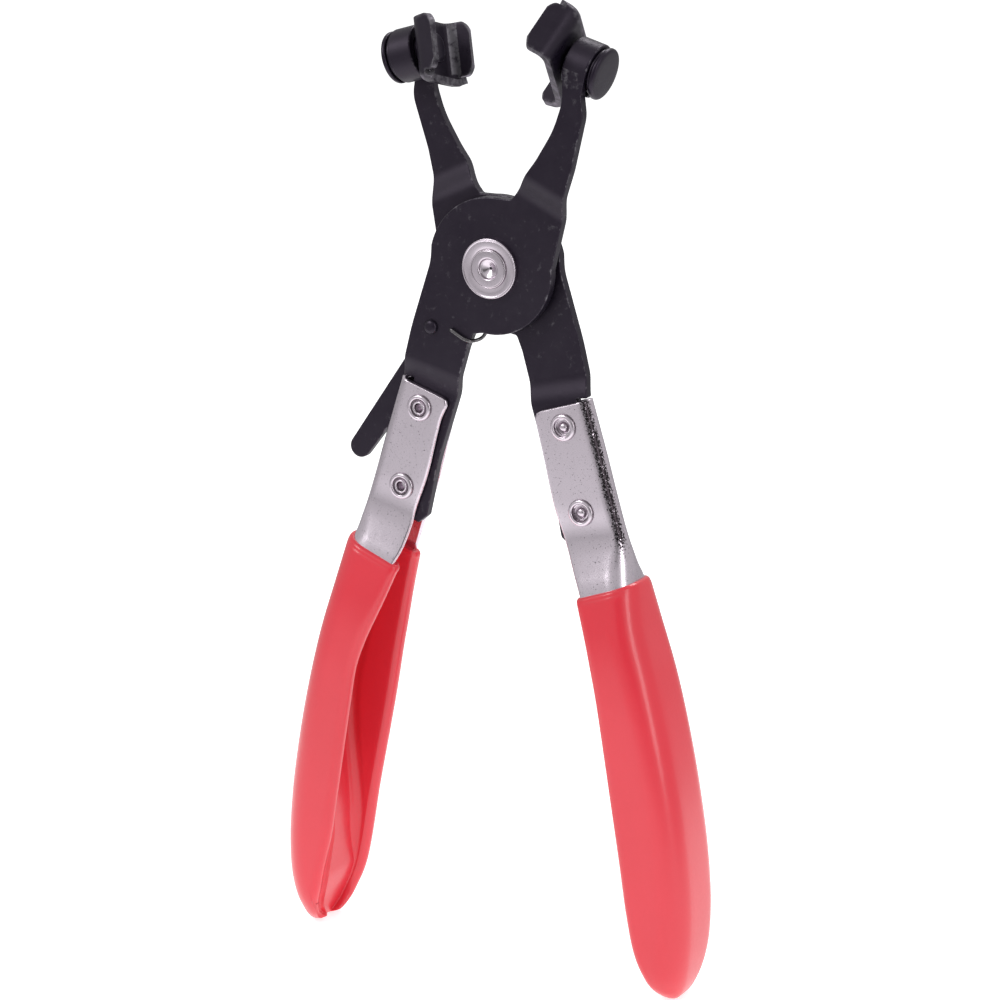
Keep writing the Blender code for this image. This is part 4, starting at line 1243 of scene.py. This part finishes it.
def build_jaw_pin(prefix):
    """The pin: a low head inside the jaw, the shank in the eye and a broad softly domed outer head."""
    size = sizes()
    eye = EYES[prefix]
    inward = INWARD[prefix]
    seat = size.eye_length / 2 + size.jaw_gap + size.jaw_sheet + mm(0.08)
    outer = -size.eye_length / 2 - mm(0.9)
    head = size.pin_head
    shoulder = seat - size.jaw_sheet - mm(0.25)
    profile = stack(((0.0, 1.0), (2.4, 0.92), (3.3, 0.6), (3.5, 0.0), (2.5, 0.0)), 0.0, seat)
    profile += [(mm(2.5), shoulder), (mm(3.8), shoulder), (mm(3.8), outer)]
    profile += stack(((-0.2, 0.0), (0.0, -0.2), (0.0, -0.62), (-0.18, -0.95), (-0.8, -1.13), (-2.2, -1.2)), head, outer)
    profile.append((0.0, outer - mm(1.22)))
    name = prefix + "_swivel_pin"
    mesh = lathe(name, soften(profile, mm(0.3)), eye, inward)
    mark_edges(show(name, mesh, "black_turned", JAW_BODY[prefix], prefix + "_jaw_pin"))
    name = prefix + "_swivel_washer"
    centre = eye - inward * (size.eye_length / 2 + mm(0.45))
    mesh = washer_mesh(name, mm(3.9), mm(5.25), mm(0.62), centre, inward, mm(0.2))
    mark_edges(show(name, mesh, "black_turned", EYE_BODY[prefix], prefix + "_jaw_washer"))


# ---------------------------------------------------------------- operators
class PLIERS_OT_arms(bpy.types.Operator):
    """Build the two crossed arms with their curled eyes"""

    bl_idname = "pliers.arms"
    bl_label = "Arms"

    def execute(self, context):
        build_arm("front_arm_pressing", "front_arm_body", False)
        build_arm("rear_arm_pressing", "rear_arm_body", True)
        return {"FINISHED"}


class PLIERS_OT_pivot(bpy.types.Operator):
    """Build the pivot's rivet, its two washers and the spacer between the arms"""

    bl_idname = "pliers.pivot"
    bl_label = "Pivot"

    def execute(self, context):
        size = sizes()
        rivet = show("pivot_rivet_body", pivot_rivet_mesh(size), "plated", "rear_arm_body", "pivot_rivet")
        rim = size.rivet_rim
        # Painted shade in the pivot rivet's rim, its ring groove and the gap round its rim.
        paint_groove_shade(rivet, PIVOT, ((rim - mm(0.3), mm(0.22), 0.6), (mm(2.2), mm(0.3), 0.6), (rim, mm(0.12), 0.8)))
        flatten_shading(rivet)
        middle = size.gap / 2 + size.sheet + mm(0.6)
        for place, side in (("front", -1.0), ("rear", 1.0)):
            centre = PIVOT + Vector((0.0, side * middle, 0.0))
            label = f"pivot_{place}_washer"
            name = label + "_ring"
            mesh = washer_mesh(name, size.shank, size.washer, mm(1.05), centre, FRONT * -side, mm(0.18), True)
            flatten_shading(show(name, mesh, "plated", "rear_arm_body", label))
        mesh = washer_mesh("pivot_spacer_ring", size.shank, mm(5.9), mm(0.9), PIVOT, FRONT, mm(0.2))
        show("pivot_spacer_ring", mesh, "plated", "rear_arm_body", "pivot_spacer")
        return {"FINISHED"}


class PLIERS_OT_handles(bpy.types.Operator):
    """Build the plated steel channels of the two handles"""

    bl_idname = "pliers.handles"
    bl_label = "Handle Channels"

    def execute(self, context):
        for prefix in ("left", "right"):
            build_channel(prefix)
        return {"FINISHED"}


class PLIERS_OT_rivets(bpy.types.Operator):
    """Build the four rivets that hold the arms in the handles"""

    bl_idname = "pliers.rivets"
    bl_label = "Handle Rivets"

    def execute(self, context):
        size = sizes()
        for prefix in ("left", "right"):
            for label, centre in rivet_places(SIDE[prefix]).items():
                node = f"{prefix}_{label}_rivet"
                mesh = handle_rivet_mesh(node + "_body", size, centre, prefix == "left")
                made = show(node + "_body", mesh, "plated", HANDLE_BODY[prefix], node)
                # Painted shade in each rivet's groove, round the edge of its head and in its middle.
                rings = [(size.rivet_groove, mm(0.34), 0.95), (size.handle_rivet + mm(0.02), mm(0.26), 0.85)]
                paint_groove_shade(made, centre, rings + [(mm(1.0), mm(0.3), 0.7)])
                flatten_shading(made)
        return {"FINISHED"}


class PLIERS_OT_grips(bpy.types.Operator):
    """Build the dipped grips"""

    bl_idname = "pliers.grips"
    bl_label = "Grips"

    def execute(self, context):
        for prefix in ("left", "right"):
            build_grip(prefix)
        return {"FINISHED"}


class PLIERS_OT_springs(bpy.types.Operator):
    """Build the opening spring and the lock lever's spring"""

    bl_idname = "pliers.springs"
    bl_label = "Springs"

    def execute(self, context):
        size = sizes()
        wire_mesh(
            "opening_spring_wire",
            opening_spring_route(size),
            size.spring_wire,
            mm(0.5),
            PIVOT,
            PIVOT + Vector((mm(-2.4), 0.0, mm(-13.0))),
            "opening_spring",
        )
        wire_mesh(
            "lock_lever_spring_wire",
            lever_spring_route(),
            mm(0.25),
            mm(0.35),
            LEVER_PIN + Vector((mm(3.0), 0.0, 0.0)),
            LEVER_PIN + Vector((mm(-1.6), 0.0, mm(-1.6))),
            "lock_lever_spring",
        )
        return {"FINISHED"}


class PLIERS_OT_lever(bpy.types.Operator):
    """Build the ratchet lock lever and its pin"""

    bl_idname = "pliers.lever"
    bl_label = "Lock Lever"

    def execute(self, context):
        build_lever()
        return {"FINISHED"}


class PLIERS_OT_jaws(bpy.types.Operator):
    """Build the two swivel jaws and the pins they turn on"""

    bl_idname = "pliers.jaws"
    bl_label = "Swivel Jaws"

    def execute(self, context):
        for prefix in ("left", "right"):
            build_jaw(prefix)
        for prefix in ("left", "right"):
            build_jaw_pin(prefix)
        return {"FINISHED"}


def soft_light(name, place, width, height, power, target):
    light = bpy.data.lights.new(name, "AREA")
    light.shape = "RECTANGLE"
    light.size = width
    light.size_y = height
    light.energy = power
    made = bpy.data.objects.new(name, light)
    made.location = place
    made.rotation_euler = (target - Vector(place)).to_track_quat("-Z", "Y").to_euler()
    bpy.context.scene.collection.objects.link(made)


def surround(studio):
    """White to the eye. To the tool it is pale, with the dark panel that stands behind a studio camera."""
    world = bpy.data.worlds.new("studio_surround")
    sky = Tree(world)
    sky.nodes.clear()
    panel = (math.sin(studio.azimuth) * 0.99, -math.cos(studio.azimuth) * 0.99, 0.12)
    way = sky.node("ShaderNodeTexCoord", {}, output="Generated")
    facing = sky.node("ShaderNodeVectorMath", {"operation": "DOT_PRODUCT"}, way, panel, output="Value")
    lit = sky.node("ShaderNodeBackground", {}, (0.8, 0.8, 0.8), facing.ramp(0.91, 0.975, studio.sky, 0.10))
    plain = sky.node("ShaderNodeBackground", {}, (1.0, 1.0, 1.0))
    seen = sky.node("ShaderNodeLightPath", {}, output="Is Camera Ray")
    both = sky.node("ShaderNodeMixShader", {}, seen, lit, plain)
    sky.put(sky.nodes.new("ShaderNodeOutputWorld").inputs["Surface"], both)
    return world


class PLIERS_OT_studio(bpy.types.Operator):
    """Set out the floor, the surround, the lights and the camera"""

    bl_idname = "pliers.studio"
    bl_label = "Studio"

    def execute(self, context):
        scene = context.scene
        studio = scene.pliers_studio
        builder = bmesh.new()
        bmesh.ops.create_grid(builder, x_segments=8, y_segments=8, size=6.0)
        floor = bpy.data.objects.new("studio_floor", mesh_of(builder, "studio_floor"))
        scene.collection.objects.link(floor)
        paint = Finish("studio_floor", tuple(studio.floor), 0.9, 0.0, Specular_IOR_Level=0.1)
        # Bright to the eye, plainer to the tool's reflections.
        seen = paint.node("ShaderNodeLightPath", {}, output="Is Camera Ray")
        shade = tuple(channel * 0.55 for channel in studio.floor)
        paint.feed("Base Color", paint.blend(seen, shade, tuple(studio.floor)))
        # Painted light: to the tool's reflections and bounced light the floor glows, brightly in a pool round the tool
        # and dimly beyond.
        far = paint.node("ShaderNodeVectorMath", {"operation": "LENGTH"}, paint.place(), output=1)
        near = paint.blend(far.ramp(0.16, 0.42), (0.75, 0.75, 0.75), (0.06, 0.06, 0.06))
        paint.feed("Emission Color", paint.blend(seen, near, (0.66, 0.66, 0.66)))
        paint.feed("Emission Strength", 1.0)
        floor.data.materials.append(paint.material)

        scene.world = surround(studio)
        middle = PIVOT + Vector((0.0, 0.0, mm(-20)))
        for light in LIGHTS:
            soft_light(*light, middle)

        level = Vector((math.cos(studio.azimuth), math.sin(studio.azimuth), 0.0))
        back = Matrix.Rotation(-studio.elevation, 3, level) @ Vector((level.y, -level.x, 0.0))
        rise = back.cross(level)
        right = level * math.cos(studio.roll) + rise * math.sin(studio.roll)
        above = rise * math.cos(studio.roll) - level * math.sin(studio.roll)
        place = PIVOT + Vector(all_mm(*CAMERA_AIM)) + back * studio.distance
        data = bpy.data.cameras.new("product_camera")
        data.lens = studio.lens
        data.sensor_width = 36.0
        data.clip_start = 0.01
        camera = bpy.data.objects.new("product_camera", data)
        camera.matrix_world = Matrix.Translation(place) @ Matrix((right, above, back)).transposed().to_4x4()
        scene.collection.objects.link(camera)
        scene.camera = camera
        scene.view_settings.view_transform = "Standard"
        return {"FINISHED"}


class PLIERS_PT_panel(bpy.types.Panel):
    """The tool's pieces, sizes and colours"""

    bl_idname = "PLIERS_PT_panel"
    bl_label = "Hose Clamp Pliers"
    bl_space_type = "VIEW_3D"
    bl_region_type = "UI"
    bl_category = "Pliers"

    def draw(self, context):
        for operator in OPERATORS:
            self.layout.operator(operator.bl_idname)
        for settings in (context.scene.pliers_sizes, context.scene.pliers_colours, context.scene.pliers_studio):
            box = self.layout.box()
            for name in settings.__annotations__:
                box.prop(settings, name)


OPERATORS = (
    PLIERS_OT_arms,
    PLIERS_OT_pivot,
    PLIERS_OT_handles,
    PLIERS_OT_rivets,
    PLIERS_OT_grips,
    PLIERS_OT_springs,
    PLIERS_OT_lever,
    PLIERS_OT_jaws,
    PLIERS_OT_studio,
)
GROUPS = {"pliers_sizes": PliersSizes, "pliers_colours": PliersColours, "pliers_studio": StudioSettings}


def register():
    for group in GROUPS.values():
        bpy.utils.register_class(group)
    for name, group in GROUPS.items():
        setattr(bpy.types.Scene, name, bpy.props.PointerProperty(type=group))
    for operator in OPERATORS:
        bpy.utils.register_class(operator)
    bpy.utils.register_class(PLIERS_PT_panel)


def unregister():
    bpy.utils.unregister_class(PLIERS_PT_panel)
    for operator in reversed(OPERATORS):
        bpy.utils.unregister_class(operator)
    for name, group in GROUPS.items():
        delattr(bpy.types.Scene, name)
        bpy.utils.unregister_class(group)


def main():
    register()
    for operator in OPERATORS:
        family, name = operator.bl_idname.split(".")
        getattr(getattr(bpy.ops, family), name)()


if __name__ == "__main__":
    main()
